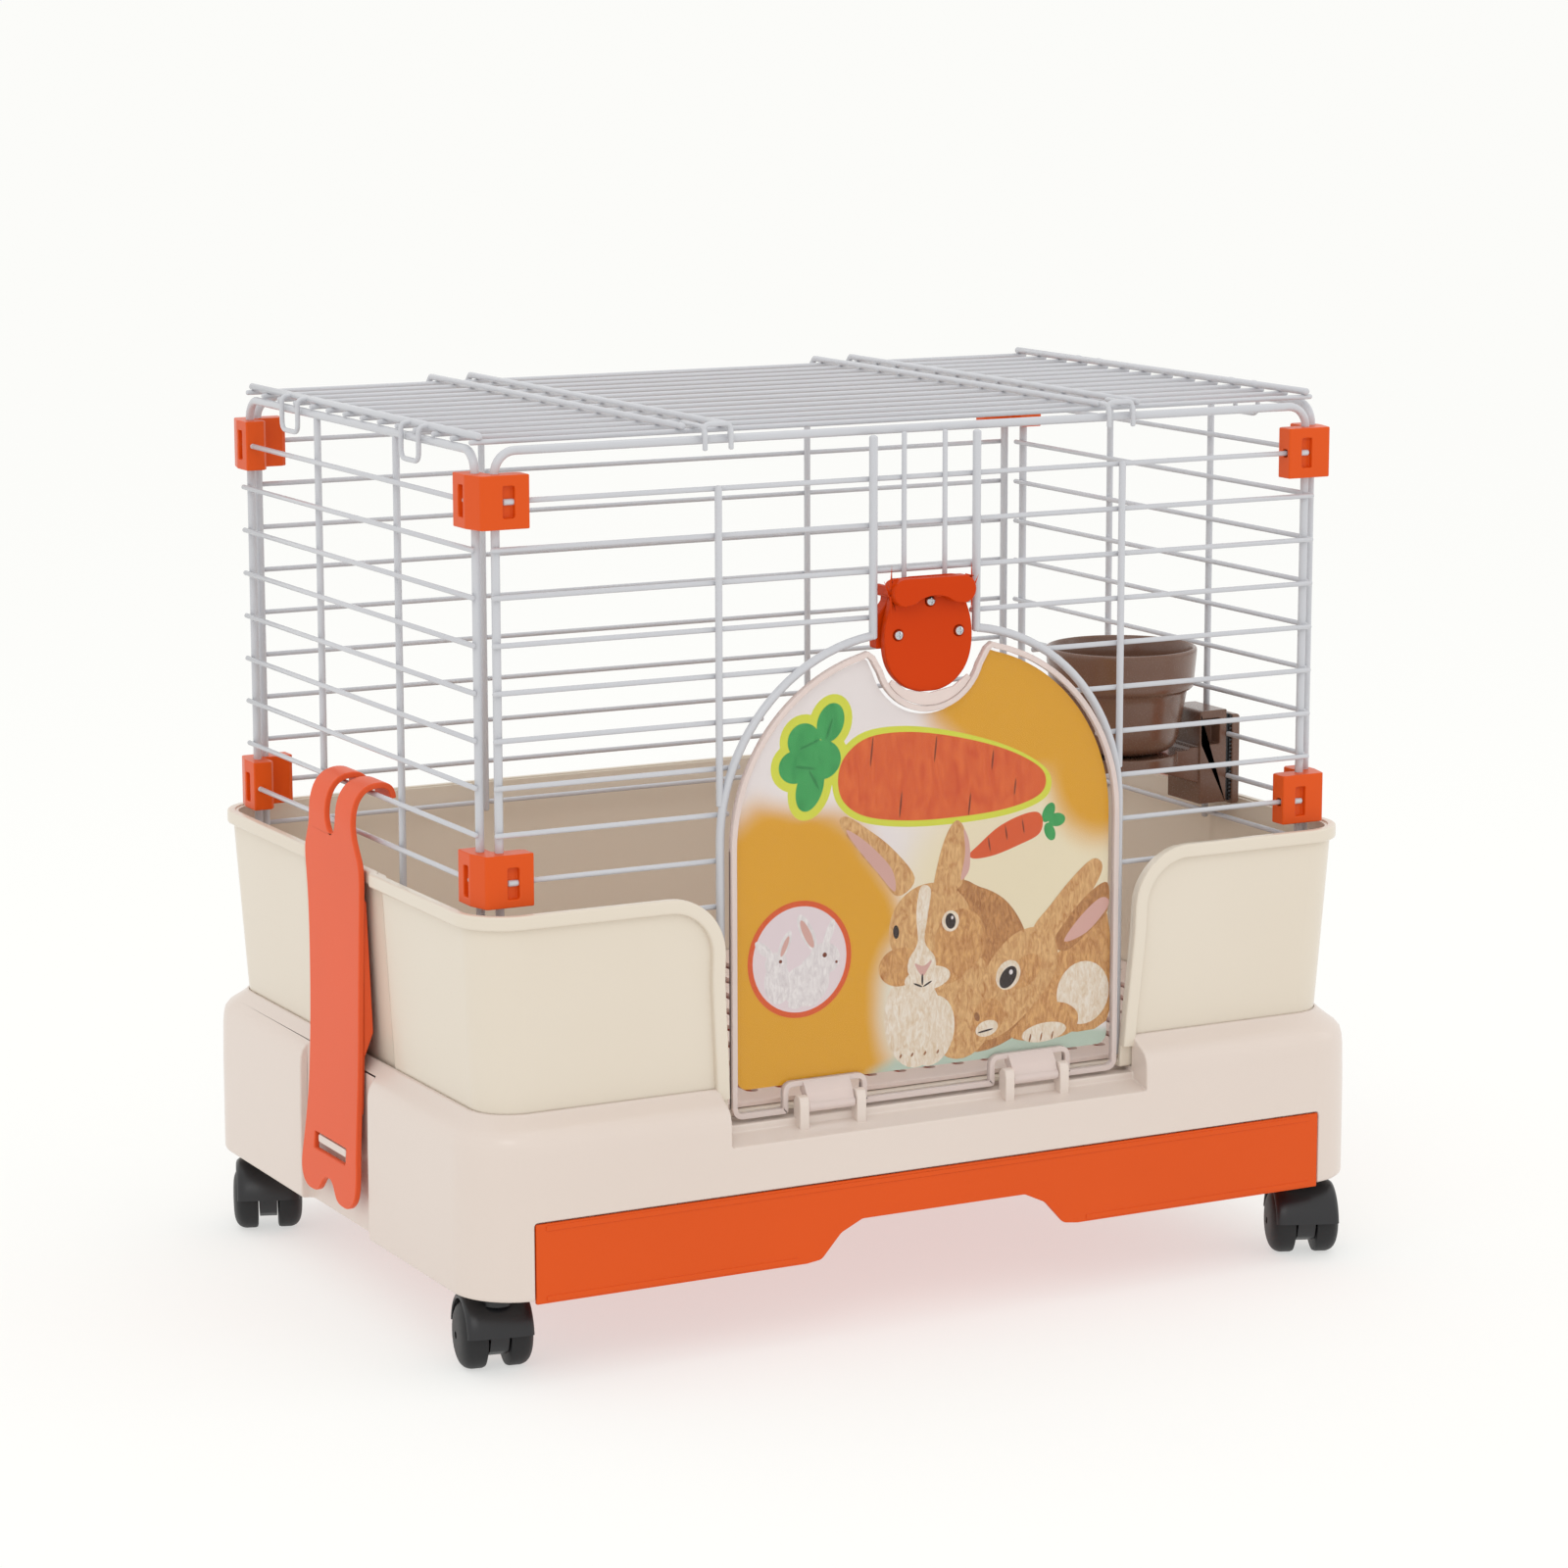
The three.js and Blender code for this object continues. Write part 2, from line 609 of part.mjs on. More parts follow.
// ---- Side straps ----
function buildStrap(name, s) {
  const outer = [
    [315, 62], [314, 76], [312, 100], [309.4, 138], [307.6, 194], [307, 254], [308, 296], [308.2, 305],
    [307.2, 314], [304.4, 321], [299.6, 326.4], [292.4, 328.9], [285.4, 328.6], [280.4, 326], [278.2, 320],
  ];
  const inner = [
    [281.4, 318.4], [281.7, 322.8], [284.4, 325], [290.4, 325.3], [296.2, 323.4], [300.8, 319.2],
    [303.6, 312.6], [304.6, 305], [304.4, 296], [303.4, 254], [304, 194], [305.8, 138], [308.4, 100],
    [310.4, 76], [311.4, 62],
  ];
  const band = slab([...outer, ...inner], 'xz', -46, 46);
  const side = [
    [1.5, 77], [5.5, 76], [9, 73], [12.5, 68.8], [17, 66], [23, 64.9], [30, 65], [36, 67], [41, 71.5],
    [43.8, 78], [43.6, 86], [41.6, 100], [39.8, 120], [39.2, 138], [39.4, 194], [41.6, 250], [43.3, 272],
    [42.6, 281], [38, 289], [34.8, 297], [33.6, 306], [33.4, 340], [8, 340], [8, 306], [6.6, 299.5],
    [3.6, 295], [1, 293.8],
  ];
  let strap = band.intersect(slab(mirrorX(side), 'yz', 270, 325));
  strap = cut(strap, box(300, 330, -25.2, 25.2, 91, 101.5));
  const ribs = [[-34, -31], [31, 34]].map(([a, b]) => box(300, 304.6, a, b, 168, 260));
  strap = join(strap, ribs);
  add(name, s > 0 ? strap : strap.mirror([1, 0, 0]), 'strap');
}

// ---- Feeding bowl and its bracket ----
const BOWL_X = 212.8;
const BOWL_Y = -75;
const BOLT_Y = -74;
const BOLT_Z = 307.7;

function buildBowl() {
  const profile = [
    [0, 313.4], [25, 313.4], [33, 316], [37.4, 322], [42.7, 353.6], [46.7, 356], [48.7, 379.8], [47.9, 382.3],
    [45.7, 381.9], [43.9, 357], [40.2, 352], [35, 324], [30, 318.6], [24, 317.2], [0, 317.2],
  ];
  const geometry = new THREE.LatheGeometry(profile.map(([r, z]) => new THREE.Vector2(r, z)), 24);
  geometry.rotateX(Math.PI / 2);
  geometry.translate(BOWL_X, BOWL_Y, 0);
  add('feeding_bowl', toSolid(geometry), 'brown');
}

function buildBracket() {
  const y0 = -94;
  const y1 = -56;
  const block = slab([
    [200, 303.4], [224, 303.4], [261.9, 290.5], [261.9, 276.8], [282.7, 276.8], [282.7, 338], [261.9, 338],
    [261.9, 314.5], [254, 314.5], [252, 312.9], [200, 312.9],
  ], 'xz', y0, y1);
  const plate = rod('z', 37, 304, 312.9, BOWL_X, BOWL_Y, 20);
  const pockets = [[y0 - 1, y0 + 9], [y1 - 9, y1 + 1]].map(([a, b]) => box(264, 277, a, b, 316, 332.6));
  const screwHole = rod('x', 2.9, 268, 290, BOLT_Y, BOLT_Z, 10);
  add('bowl_bracket', cut(join(block, plate), pockets, screwHole), 'brown');
  const clamp = cut(
    box(286.8, 292.8, y0, y1, 275, 334.4),
    box(286, 290.3, -63.9, -58.9, 270, 340),
    rod('x', 2.9, 280, 300, BOLT_Y, BOLT_Z, 10),
  );
  add('bowl_clamp_plate', clamp, 'brown');
  const head = rod('x', 5, 293.1, 296.2, BOLT_Y, BOLT_Z, 12);
  const shank = rod('x', 2.5, 270, 294, BOLT_Y, BOLT_Z, 8);
  add('bowl_clamp_screw', join(head, shank), 'steel');
}

// ---- Castors ----
function turned(solid, x, y, degrees) {
  return solid.rotate([0, 0, degrees]).translate([x, y, 0]);
}

function wheelSolid(x0, s) {
  const k = 1 / Math.cos(Math.PI / 16);
  const profile = [
    [2.4, 0.4], [19.3, 0], [20.5, 1.8], [20.5, 8.4], [19.4, 11.4], [16.4, 13.9], [11.5, 15.4], [2.4, 16],
  ];
  const points = profile.map(([r, t]) => new THREE.Vector2(r > 3 ? r * k : r, t));
  const geometry = new THREE.LatheGeometry([...points, points[0]], 16);
  geometry.rotateY(Math.PI / 16);
  geometry.rotateZ(-Math.PI / 2);
  geometry.translate(x0, 0, WHEEL_R);
  const solid = toSolid(geometry);
  const flipped = [...geometry.index.array].reverse();
  const good = solid.volume() > 0 ? solid : toSolid(geometry.setIndex(flipped));
  return s > 0 ? good : good.mirror([1, 0, 0]);
}

// Wheel axle along X, centred on the origin; the stem stands at +Y * TRAIL.
function buildCastor(tag, x, y, degrees, ahead) {
  const shell = (r, half) => slab([
    ...arc(0, WHEEL_R, r, 10, 170, 9),
    ...arc(0, WHEEL_R, 21.7, 170, 10, 9),
  ], 'yz', -half, half);
  const hood = join(shell(26.6, 16.4), shell(25, 19.6));
  const web = slab([
    ...arc(0, WHEEL_R, 23.6, 20, 160, 6),
    [-19.5, 20.5], [-16, 13.5], [-9, 10], [9, 10], [16, 13.5], [19.5, 20.5],
  ], 'yz', -5.6, 5.6);
  const t = ahead * TRAIL;
  const boss = rod('z', 8, 42.5, 50.1, 0, t, 12);
  const stem = rod('z', 4, 46, 73, 0, t, 8);
  const bore = rod('x', 2.3, -30, 30, 0, WHEEL_R, 12);
  const place = (solid) => turned(solid.translate([0, -t, 0]), x, y, degrees);
  add(`castor_${tag}_housing`, place(cut(join(hood, web, boss, stem), bore)), 'black');
  add(`castor_${tag}_axle`, place(rod('x', 1.95, -19, 19, 0, WHEEL_R, 12)), 'steel');
  add(`castor_${tag}_wheel_left`, place(wheelSolid(6.4, -1)), 'black');
  add(`castor_${tag}_wheel_right`, place(wheelSolid(6.4, 1)), 'black');
}

buildBase();
buildTub();
buildDrawer();
buildGrid();
buildFrontPanel();
buildRearPanel();
buildSidePanel('left_wire_panel', LEFT_X);
buildSidePanel('right_wire_panel', RIGHT_X);
buildRoof();

const CORNERS = [['front_left', -1, -1], ['front_right', 1, -1], ['rear_left', -1, 1], ['rear_right', 1, 1]];
for (const [tag, sx, sy] of CORNERS) {
  buildClip(`corner_clip_upper_${tag}`, sx, sy, 499.5, 0);
  buildClip(`corner_clip_lower_${tag}`, sx, sy, 279.9, 8);
}

buildDoor();
buildLatch();
buildStrap('side_strap_left', -1);
buildStrap('side_strap_right', 1);
buildBowl();
buildBracket();
buildCastor('front_left', -STEM_X, -STEM_Y, -11, -1);
buildCastor('front_right', STEM_X, -STEM_Y, -23, 1);
buildCastor('rear_left', -STEM_X, STEM_Y, -20, 1);
buildCastor('rear_right', STEM_X, STEM_Y, 23, -1);

export default group;
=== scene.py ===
import math

import bmesh
import bpy
from mathutils import Matrix, Vector


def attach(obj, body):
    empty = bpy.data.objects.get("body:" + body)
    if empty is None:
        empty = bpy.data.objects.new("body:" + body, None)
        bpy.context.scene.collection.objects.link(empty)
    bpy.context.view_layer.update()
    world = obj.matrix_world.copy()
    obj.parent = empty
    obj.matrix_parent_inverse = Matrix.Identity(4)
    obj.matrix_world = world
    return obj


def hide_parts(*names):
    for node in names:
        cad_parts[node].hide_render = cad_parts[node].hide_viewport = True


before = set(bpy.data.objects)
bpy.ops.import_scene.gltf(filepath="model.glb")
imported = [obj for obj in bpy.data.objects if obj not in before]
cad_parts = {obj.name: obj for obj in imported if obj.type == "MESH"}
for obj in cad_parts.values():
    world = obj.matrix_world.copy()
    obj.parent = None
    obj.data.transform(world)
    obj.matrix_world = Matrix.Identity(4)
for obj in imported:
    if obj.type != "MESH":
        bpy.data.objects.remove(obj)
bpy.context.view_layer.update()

MM = 0.001
SCENE = bpy.context.scene

# ---------------------------------------------------------------- outlines


def arc(cx, cy, r, a0, a1, n=8):
    """Points on a circle from angle a0 to a1, in degrees."""
    out = []
    for i in range(n + 1):
        a = math.radians(a0 + (a1 - a0) * i / n)
        out.append((cx + r * math.cos(a), cy + r * math.sin(a)))
    return out


def mirrored(points):
    """A right half from bottom to top, closed by its mirror image in X."""
    return list(points) + [(-x, z) for x, z in reversed(points)]


def rounded(points, radius, n=5):
    """A polygon with its corners rounded; radius is one number or one per corner."""
    count = len(points)
    radii = radius if isinstance(radius, (list, tuple)) else [radius] * count
    out = []
    for i, p in enumerate(points):
        p = Vector(p)
        a = (Vector(points[i - 1]) - p)
        b = (Vector(points[(i + 1) % count]) - p)
        half = a.angle(b) / 2
        if radii[i] <= 0 or half > 1.55:
            out.append(tuple(p))
            continue
        cut = min(radii[i] / math.tan(half), a.length * 0.48, b.length * 0.48)
        p0, p1 = p + a.normalized() * cut, p + b.normalized() * cut
        for k in range(n + 1):
            t = k / n
            out.append(tuple(p0 * (1 - t) ** 2 + p * 2 * t * (1 - t) + p1 * t * t))
    return out


def smooth_line(points, per=6, closed=False):
    """A Catmull-Rom curve through points of any dimension."""
    pts = [Vector(p) for p in points]
    count = len(pts)
    spans = count if closed else count - 1
    out = []
    for i in range(spans):
        p1, p2 = pts[i], pts[(i + 1) % count]
        p0 = pts[i - 1] if closed or i else p1 * 2 - p2
        p3 = pts[(i + 2) % count] if closed or i + 2 < count else p2 * 2 - p1
        for k in range(per):
            t = k / per
            out.append(tuple(((2 * p1) + (p2 - p0) * t + (2 * p0 - 5 * p1 + 4 * p2 - p3) * t * t
                + (3 * p1 - p0 - 3 * p2 + p3) * t ** 3) / 2))
    if not closed:
        out.append(tuple(pts[-1]))
    return out


def plan(hx, hy, r, z, recess=0, half=60, n=10):
    """A rounded rectangle at height z, with an optional shallow recess in both X sides."""
    lane = []
    if recess:
        for k in range(7):
            t = k / 6
            s = t * t * (3 - 2 * t)
            lane.append((hx - recess * s, half + 3.5 - 7 * t))
    right = [(x, -y) for x, y in lane] + [(x, y) for x, y in reversed(lane)]
    left = [(-x, y) for x, y in lane] + [(-x, -y) for x, y in reversed(lane)]
    ring = right + arc(hx - r, hy - r, r, 0, 90, n) + arc(-hx + r, hy - r, r, 90, 180, n)
    ring += left + arc(-hx + r, -hy + r, r, 180, 270, n) + arc(hx - r, -hy + r, r, 270, 360, n)
    return [(x, y, z) for x, y in ring]


# ---------------------------------------------------------------- meshes in millimetres


class Geo:
    """Vertices in millimetres and faces, collected from several shapes."""

    def __init__(self):
        self.verts = []
        self.faces = []
        self.mats = []

    def put(self, verts, faces, mat=0):
        base = len(self.verts)
        self.verts += [tuple(v) for v in verts]
        self.faces += [tuple(i + base for i in f) for f in faces]
        self.mats += [mat] * len(faces)
        return self

    def rings(self, rings, cap=True, closed=False, mat=0):
        """Joins rings of equal count by quads."""
        n = len(rings[0])
        faces = []
        spans = len(rings) if closed else len(rings) - 1
        for k in range(spans):
            a, b = k * n, ((k + 1) % len(rings)) * n
            faces += [(a + i, a + (i + 1) % n, b + (i + 1) % n, b + i) for i in range(n)]
        if cap and not closed:
            faces.append(tuple(reversed(range(n))))
            faces.append(tuple(range((len(rings) - 1) * n, len(rings) * n)))
        return self.put([p for ring in rings for p in ring], faces, mat)

    def prism(self, outline, plane, d0, d1, mat=0):
        place = {"xz": lambda u, v, d: (u, d, v), "yz": lambda u, v, d: (d, u, v),
            "xy": lambda u, v, d: (u, v, d)}[plane]
        return self.rings([[place(u, v, d) for u, v in outline] for d in (d0, d1)], mat=mat)

    def block(self, x0, x1, y0, y1, z0, z1):
        return self.prism([(x0, y0), (x1, y0), (x1, y1), (x0, y1)], "xy", z0, z1)

    def lathe(self, profile, centre, axis="z", n=48, mat=0):
        """A closed profile of (radius, height) turned about an axis through centre."""
        rings = []
        for k in range(n):
            a = 2 * math.pi * k / n
            ring = []
            for r, h in profile:
                u, v = r * math.cos(a), r * math.sin(a)
                p = {"z": (u, v, h), "x": (h, u, v), "y": (u, h, v)}[axis]
                ring.append(tuple(Vector(centre) + Vector(p)))
            rings.append(ring)
        return self.rings(rings, closed=True, mat=mat)

    def tube(self, path, r, n=12, closed=False, mat=0):
        """A round wire along a path, with softly rounded ends."""
        pts = [Vector(p) for p in path]
        count = len(pts)
        tangents = []
        for i in range(count):
            a = pts[i - 1] if closed or i else pts[0]
            b = pts[(i + 1) % count] if closed or i + 1 < count else pts[-1]
            t0 = (pts[i] - a).normalized() if (pts[i] - a).length > 1e-6 else None
            t1 = (b - pts[i]).normalized() if (b - pts[i]).length > 1e-6 else None
            tangents.append(((t0 or t1) + (t1 or t0)).normalized())
        side = tangents[0].orthogonal().normalized()
        rings = []
        for i, (p, t) in enumerate(zip(pts, tangents)):
            side = (side - t * side.dot(t)).normalized()
            up = t.cross(side)
            ring = []
            for k in range(n):
                a = 2 * math.pi * k / n
                ring.append(p + (side * math.cos(a) + up * math.sin(a)) * r)
            rings.append(ring)
        if not closed:
            for where in (0, -1):
                p, t = pts[where], tangents[where] * (-1 if where == 0 else 1)
                extra = [[p + (q - p) * f + t * (r * g) for q in rings[where]]
                    for f, g in ((0.86, 0.28), (0.5, 0.5))]
                rings = extra[::-1] + rings if where == 0 else rings + extra
        return self.rings(rings, closed=closed, mat=mat)

    def moved(self, matrix):
        self.verts = [tuple(matrix @ Vector(v)) for v in self.verts]
        return self


def as_object(name, geo, materials):
    mesh = bpy.data.meshes.new(name)
    mesh.from_pydata([(x * MM, y * MM, z * MM) for x, y, z in geo.verts], [], geo.faces)
    for m in materials:
        mesh.materials.append(m)
    mesh.polygons.foreach_set("material_index", geo.mats)
    work = bmesh.new()
    work.from_mesh(mesh)
    bmesh.ops.remove_doubles(work, verts=work.verts, dist=1e-7)
    bmesh.ops.recalc_face_normals(work, faces=work.faces)
    work.to_mesh(mesh)
    work.free()
    o = bpy.data.objects.new(name, mesh)
    SCENE.collection.objects.link(o)
    return o


def cut_with(o, tool, operation):
    m = o.modifiers.new(tool.name, "BOOLEAN")
    m.operation = operation
    m.object = tool
    m.solver = "EXACT"


def shape_of(o, side):
    """An object's mesh as a Geo, mirrored in X when side is -1."""
    shape = Geo().put([v.co / MM for v in o.data.vertices], [tuple(p.vertices) for p in o.data.polygons])
    shape.verts = [(side * x, y, z) for x, y, z in shape.verts]
    return shape


def apply_all(o):
    """Turns an object's modifiers into its mesh."""
    graph = bpy.context.evaluated_depsgraph_get()
    graph.update()
    mesh = bpy.data.meshes.new_from_object(o.evaluated_get(graph), preserve_all_data_layers=True,
        depsgraph=graph)
    o.modifiers.clear()
    old, o.data = o.data, mesh
    bpy.data.meshes.remove(old)


def piece(name, geo, material, body, nodes=(), cutters=(), joins=(), bevel=0.0, steps=2,
        angle=32, sharp=38, flat=True):
    """One finished piece: shapes cut and joined, edges bevelled, normals set, riding on its body."""
    materials = material if isinstance(material, (list, tuple)) else [material]
    o = as_object(name, geo, materials)
    tools = [(g, "UNION") for g in joins] + [(g, "DIFFERENCE") for g in cutters]
    helpers = []
    for k, (g, operation) in enumerate(tools):
        tool = as_object(f"{name}_tool{k}", g, materials[:1])
        helpers.append(tool)
        cut_with(o, tool, operation)
    if tools:
        apply_all(o)
        for tool in helpers:
            bpy.data.objects.remove(tool)
    if bevel:
        m = o.modifiers.new("bevel", "BEVEL")
        m.width = bevel * MM
        m.segments = steps
        m.limit_method = "ANGLE"
        m.angle_limit = math.radians(angle)
        m.use_clamp_overlap = False
        m.miter_outer = "MITER_ARC"
        apply_all(o)
    o.data.shade_smooth()
    o.data.set_sharp_from_angle(angle=math.radians(sharp))
    if flat:
        m = o.modifiers.new("normals", "WEIGHTED_NORMAL")
        m.keep_sharp = True
        m.weight = 60
        apply_all(o)
    if nodes:
        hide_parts(*nodes)
    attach(o, body)
    return o


# ---------------------------------------------------------------- materials


def linear(rgb):
    """Screen colour of 0 to 255 per channel as a linear colour with full alpha."""
    return tuple((c / 255 / 12.92 if c <= 10.3 else ((c / 255 + 0.055) / 1.055) ** 2.4)
            for c in rgb) + (1.0,)


def fill(n, **inputs):
    """Sets a node's unlinked inputs; an underscore in a name stands for a space."""
    for key, value in inputs.items():
        n.inputs[key.replace("_", " ")].default_value = value
    return n


def node(tree, kind, **inputs):
    return fill(tree.nodes.new(kind), **inputs)


def link(source, output, target, place):
    source.id_data.links.new(source.outputs[output], target.inputs[place])


def moulded(name, rgb, rough=0.4, vary=0.05, grain=0.05, grain_scale=1400, specular=0.5, coat=0.0, glow=0.0,
        tint=None, spread=0.07):
    """Moulded plastic or coated wire: slow colour drift, fine surface grain and uneven gloss."""
    m = bpy.data.materials.new(name)
    m.use_nodes = True
    t = m.node_tree
    shader = t.nodes["Principled BSDF"]
    fill(shader, Specular_IOR_Level=specular, Coat_Weight=coat, Coat_Roughness=0.12)
    if glow:
        fill(shader, Subsurface_Weight=glow, Subsurface_Radius=(0.004, 0.0018, 0.001),
            Subsurface_Scale=1.0)
    where = t.nodes.new("ShaderNodeTexCoord")
    place = node(t, "ShaderNodeMapping")
    link(where, "Object", place, "Vector")
    slow = node(t, "ShaderNodeTexNoise", Scale=7.0, Detail=3.0)
    link(place, "Vector", slow, "Vector")
    mix = t.nodes.new("ShaderNodeMix")
    mix.data_type = "RGBA"
    base = linear(rgb)
    other = linear(tint) if tint else tuple(c * (1 - 2 * vary) for c in base[:3]) + (1.0,)
    fill(mix, A=tuple(min(1, c * (1 + vary)) for c in base[:3]) + (1.0,), B=other)
    link(slow, "Fac", mix, "Factor")
    link(mix, "Result", shader, "Base Color")
    fine = node(t, "ShaderNodeTexNoise", Scale=float(grain_scale), Detail=4.0, Roughness=0.6)
    link(place, "Vector", fine, "Vector")
    gloss = node(t, "ShaderNodeMapRange")
    fill(gloss, To_Min=max(0.02, rough - spread), To_Max=rough + spread)
    link(fine, "Fac", gloss, "Value")
    link(gloss, "Result", shader, "Roughness")
    bump = node(t, "ShaderNodeBump", Strength=grain, Distance=0.0002)
    link(fine, "Fac", bump, "Height")
    link(bump, "Normal", shader, "Normal")
    return m


def clear_plastic(name, rgb, rough=0.03, shade=0.97, clarity=1.0, ior=1.15):
    """Clear moulded plastic that lets lamp light through to what lies behind it."""
    m = moulded(name, rgb, rough=rough, vary=0.01, grain=0.01, grain_scale=60, specular=0.5, spread=0.01)
    t = m.node_tree
    shader = t.nodes["Principled BSDF"]
    fill(shader, Transmission_Weight=clarity, IOR=ior)
    out = t.nodes["Material Output"]
    path = t.nodes.new("ShaderNodeLightPath")
    through = t.nodes.new("ShaderNodeBsdfTransparent")
    fill(through, Color=(shade, shade, shade, 1))
    mix = t.nodes.new("ShaderNodeMixShader")
    link(path, "Is Shadow Ray", mix, "Fac")
    link(shader, "BSDF", mix, 1)
    link(through, "BSDF", mix, 2)
    link(mix, "Shader", out, "Surface")
    return m


def metal(name, rgb, rough=0.2):
    m = moulded(name, rgb, rough=rough, vary=0.04, grain=0.04, grain_scale=3000)
    m.node_tree.nodes["Principled BSDF"].inputs["Metallic"].default_value = 1.0
    return m


def fur(name, dark, light, angle=0.0, scale=60.0):
    """Printed fur: short uneven strokes from a dark to a light tone."""
    m = moulded(name, light, rough=0.32, vary=0.03, grain=0.02)
    t = m.node_tree
    shader = t.nodes["Principled BSDF"]
    where = t.nodes.new("ShaderNodeTexCoord")
    turn = node(t, "ShaderNodeMapping")
    fill(turn, Rotation=(0, math.radians(angle), 0), Scale=(2.4, 1.0, 0.9))
    link(where, "Object", turn, "Vector")
    strokes = node(t, "ShaderNodeTexNoise", Scale=scale * 2.2, Detail=3.0, Roughness=0.6, Distortion=1.0)
    link(turn, "Vector", strokes, "Vector")
    ramp = t.nodes.new("ShaderNodeValToRGB")
    ramp.color_ramp.elements[0].position = 0.24
    ramp.color_ramp.elements[0].color = linear(dark)
    ramp.color_ramp.elements[1].position = 0.66
    ramp.color_ramp.elements[1].color = linear(light)
    link(strokes, "Fac", ramp, "Fac")
    link(ramp, "Color", shader, "Base Color")
    return m


def printed_ground(name, base, patches):
    """Printed film: soft patches of colour, each (colour, x, z, half width, half height, softness)."""
    m = moulded(name, base, rough=0.3, vary=0.0, grain=0.02)
    t = m.node_tree
    shader = t.nodes["Principled BSDF"]
    where = t.nodes.new("ShaderNodeTexCoord")
    ripple = node(t, "ShaderNodeTexNoise", Scale=14.0, Detail=2.0)
    link(where, "Object", ripple, "Vector")
    colour = None
    for rgb, x, z, a, b, soft in patches:
        away = node(t, "ShaderNodeMapping")
        away.vector_type = "TEXTURE"
        fill(away, Location=(x * MM, 0, z * MM), Scale=(a * MM, 1, b * MM))
        link(where, "Object", away, "Vector")
        flat = node(t, "ShaderNodeVectorMath")
        flat.operation = "MULTIPLY"
        flat.inputs[1].default_value = (1, 0, 1)
        link(away, "Vector", flat, 0)
        length = node(t, "ShaderNodeVectorMath")
        length.operation = "LENGTH"
        link(flat, "Vector", length, 0)
        wobble = node(t, "ShaderNodeMath")
        wobble.operation = "MULTIPLY_ADD"
        wobble.inputs[1].default_value = 0.35
        link(ripple, "Fac", wobble, 0)
        link(length, "Value", wobble, 2)
        fade = node(t, "ShaderNodeMapRange")
        fade.interpolation_type = "SMOOTHSTEP"
        fill(fade, From_Min=1.17 - soft, From_Max=1.17 + soft, To_Min=1, To_Max=0)
        link(wobble, "Value", fade, "Value")
        mix = t.nodes.new("ShaderNodeMix")
        mix.data_type = "RGBA"
        fill(mix, B=linear(rgb))
        if colour is None:
            fill(mix, A=linear(base))
        else:
            t.links.new(colour, mix.inputs["A"])
        link(fade, "Result", mix, "Factor")
        colour = mix.outputs["Result"]
    t.links.new(colour, shader.inputs["Base Color"])
    return m


SHELL = moulded("shell_plastic", (221, 208, 199), rough=0.3, vary=0.015, tint=(218, 203, 193), coat=0.1)
TUB = moulded("tub_plastic", (222, 212, 197), rough=0.3, vary=0.015, tint=(219, 207, 190), coat=0.1)
ORANGE = moulded("orange_plastic", (220, 82, 16), rough=0.34, vary=0.04, specular=0.22)
LATCH = moulded("latch_plastic", (202, 60, 2), rough=0.36, vary=0.04, specular=0.12)
STRAP = moulded("strap_plastic", (228, 90, 46), rough=0.42, vary=0.04, specular=0.25, glow=0.08)
WIRE = moulded("coated_wire", (198, 199, 204), rough=0.24, vary=0.02, grain=0.03, grain_scale=500)
BROWN = moulded("brown_plastic", (112, 80, 64), rough=0.26, vary=0.04, specular=0.5, coat=0.2)
GRID = moulded("grid_plastic", (232, 214, 205), rough=0.4, vary=0.02)
BLACK = moulded("castor_plastic", (30, 30, 33), rough=0.36, vary=0.08, specular=0.5)
TYRE = moulded("wheel_tyre", (26, 26, 28), rough=0.5, vary=0.1, grain=0.12, specular=0.4)
STEEL = metal("screw_steel", (196, 198, 202))
CLEAR = clear_plastic("clear_plastic", (250, 248, 249))
RIM = clear_plastic("clear_plastic_edge", (236, 220, 214), rough=0.1, clarity=0.3, ior=1.25)

# ---------------------------------------------------------------- base frame

BASE_HX, BASE_HY, BASE_R = 310, 219.3, 38
LUGS = (52, 91)
HINGE_Y, HINGE_Z = -204.5, 141.5


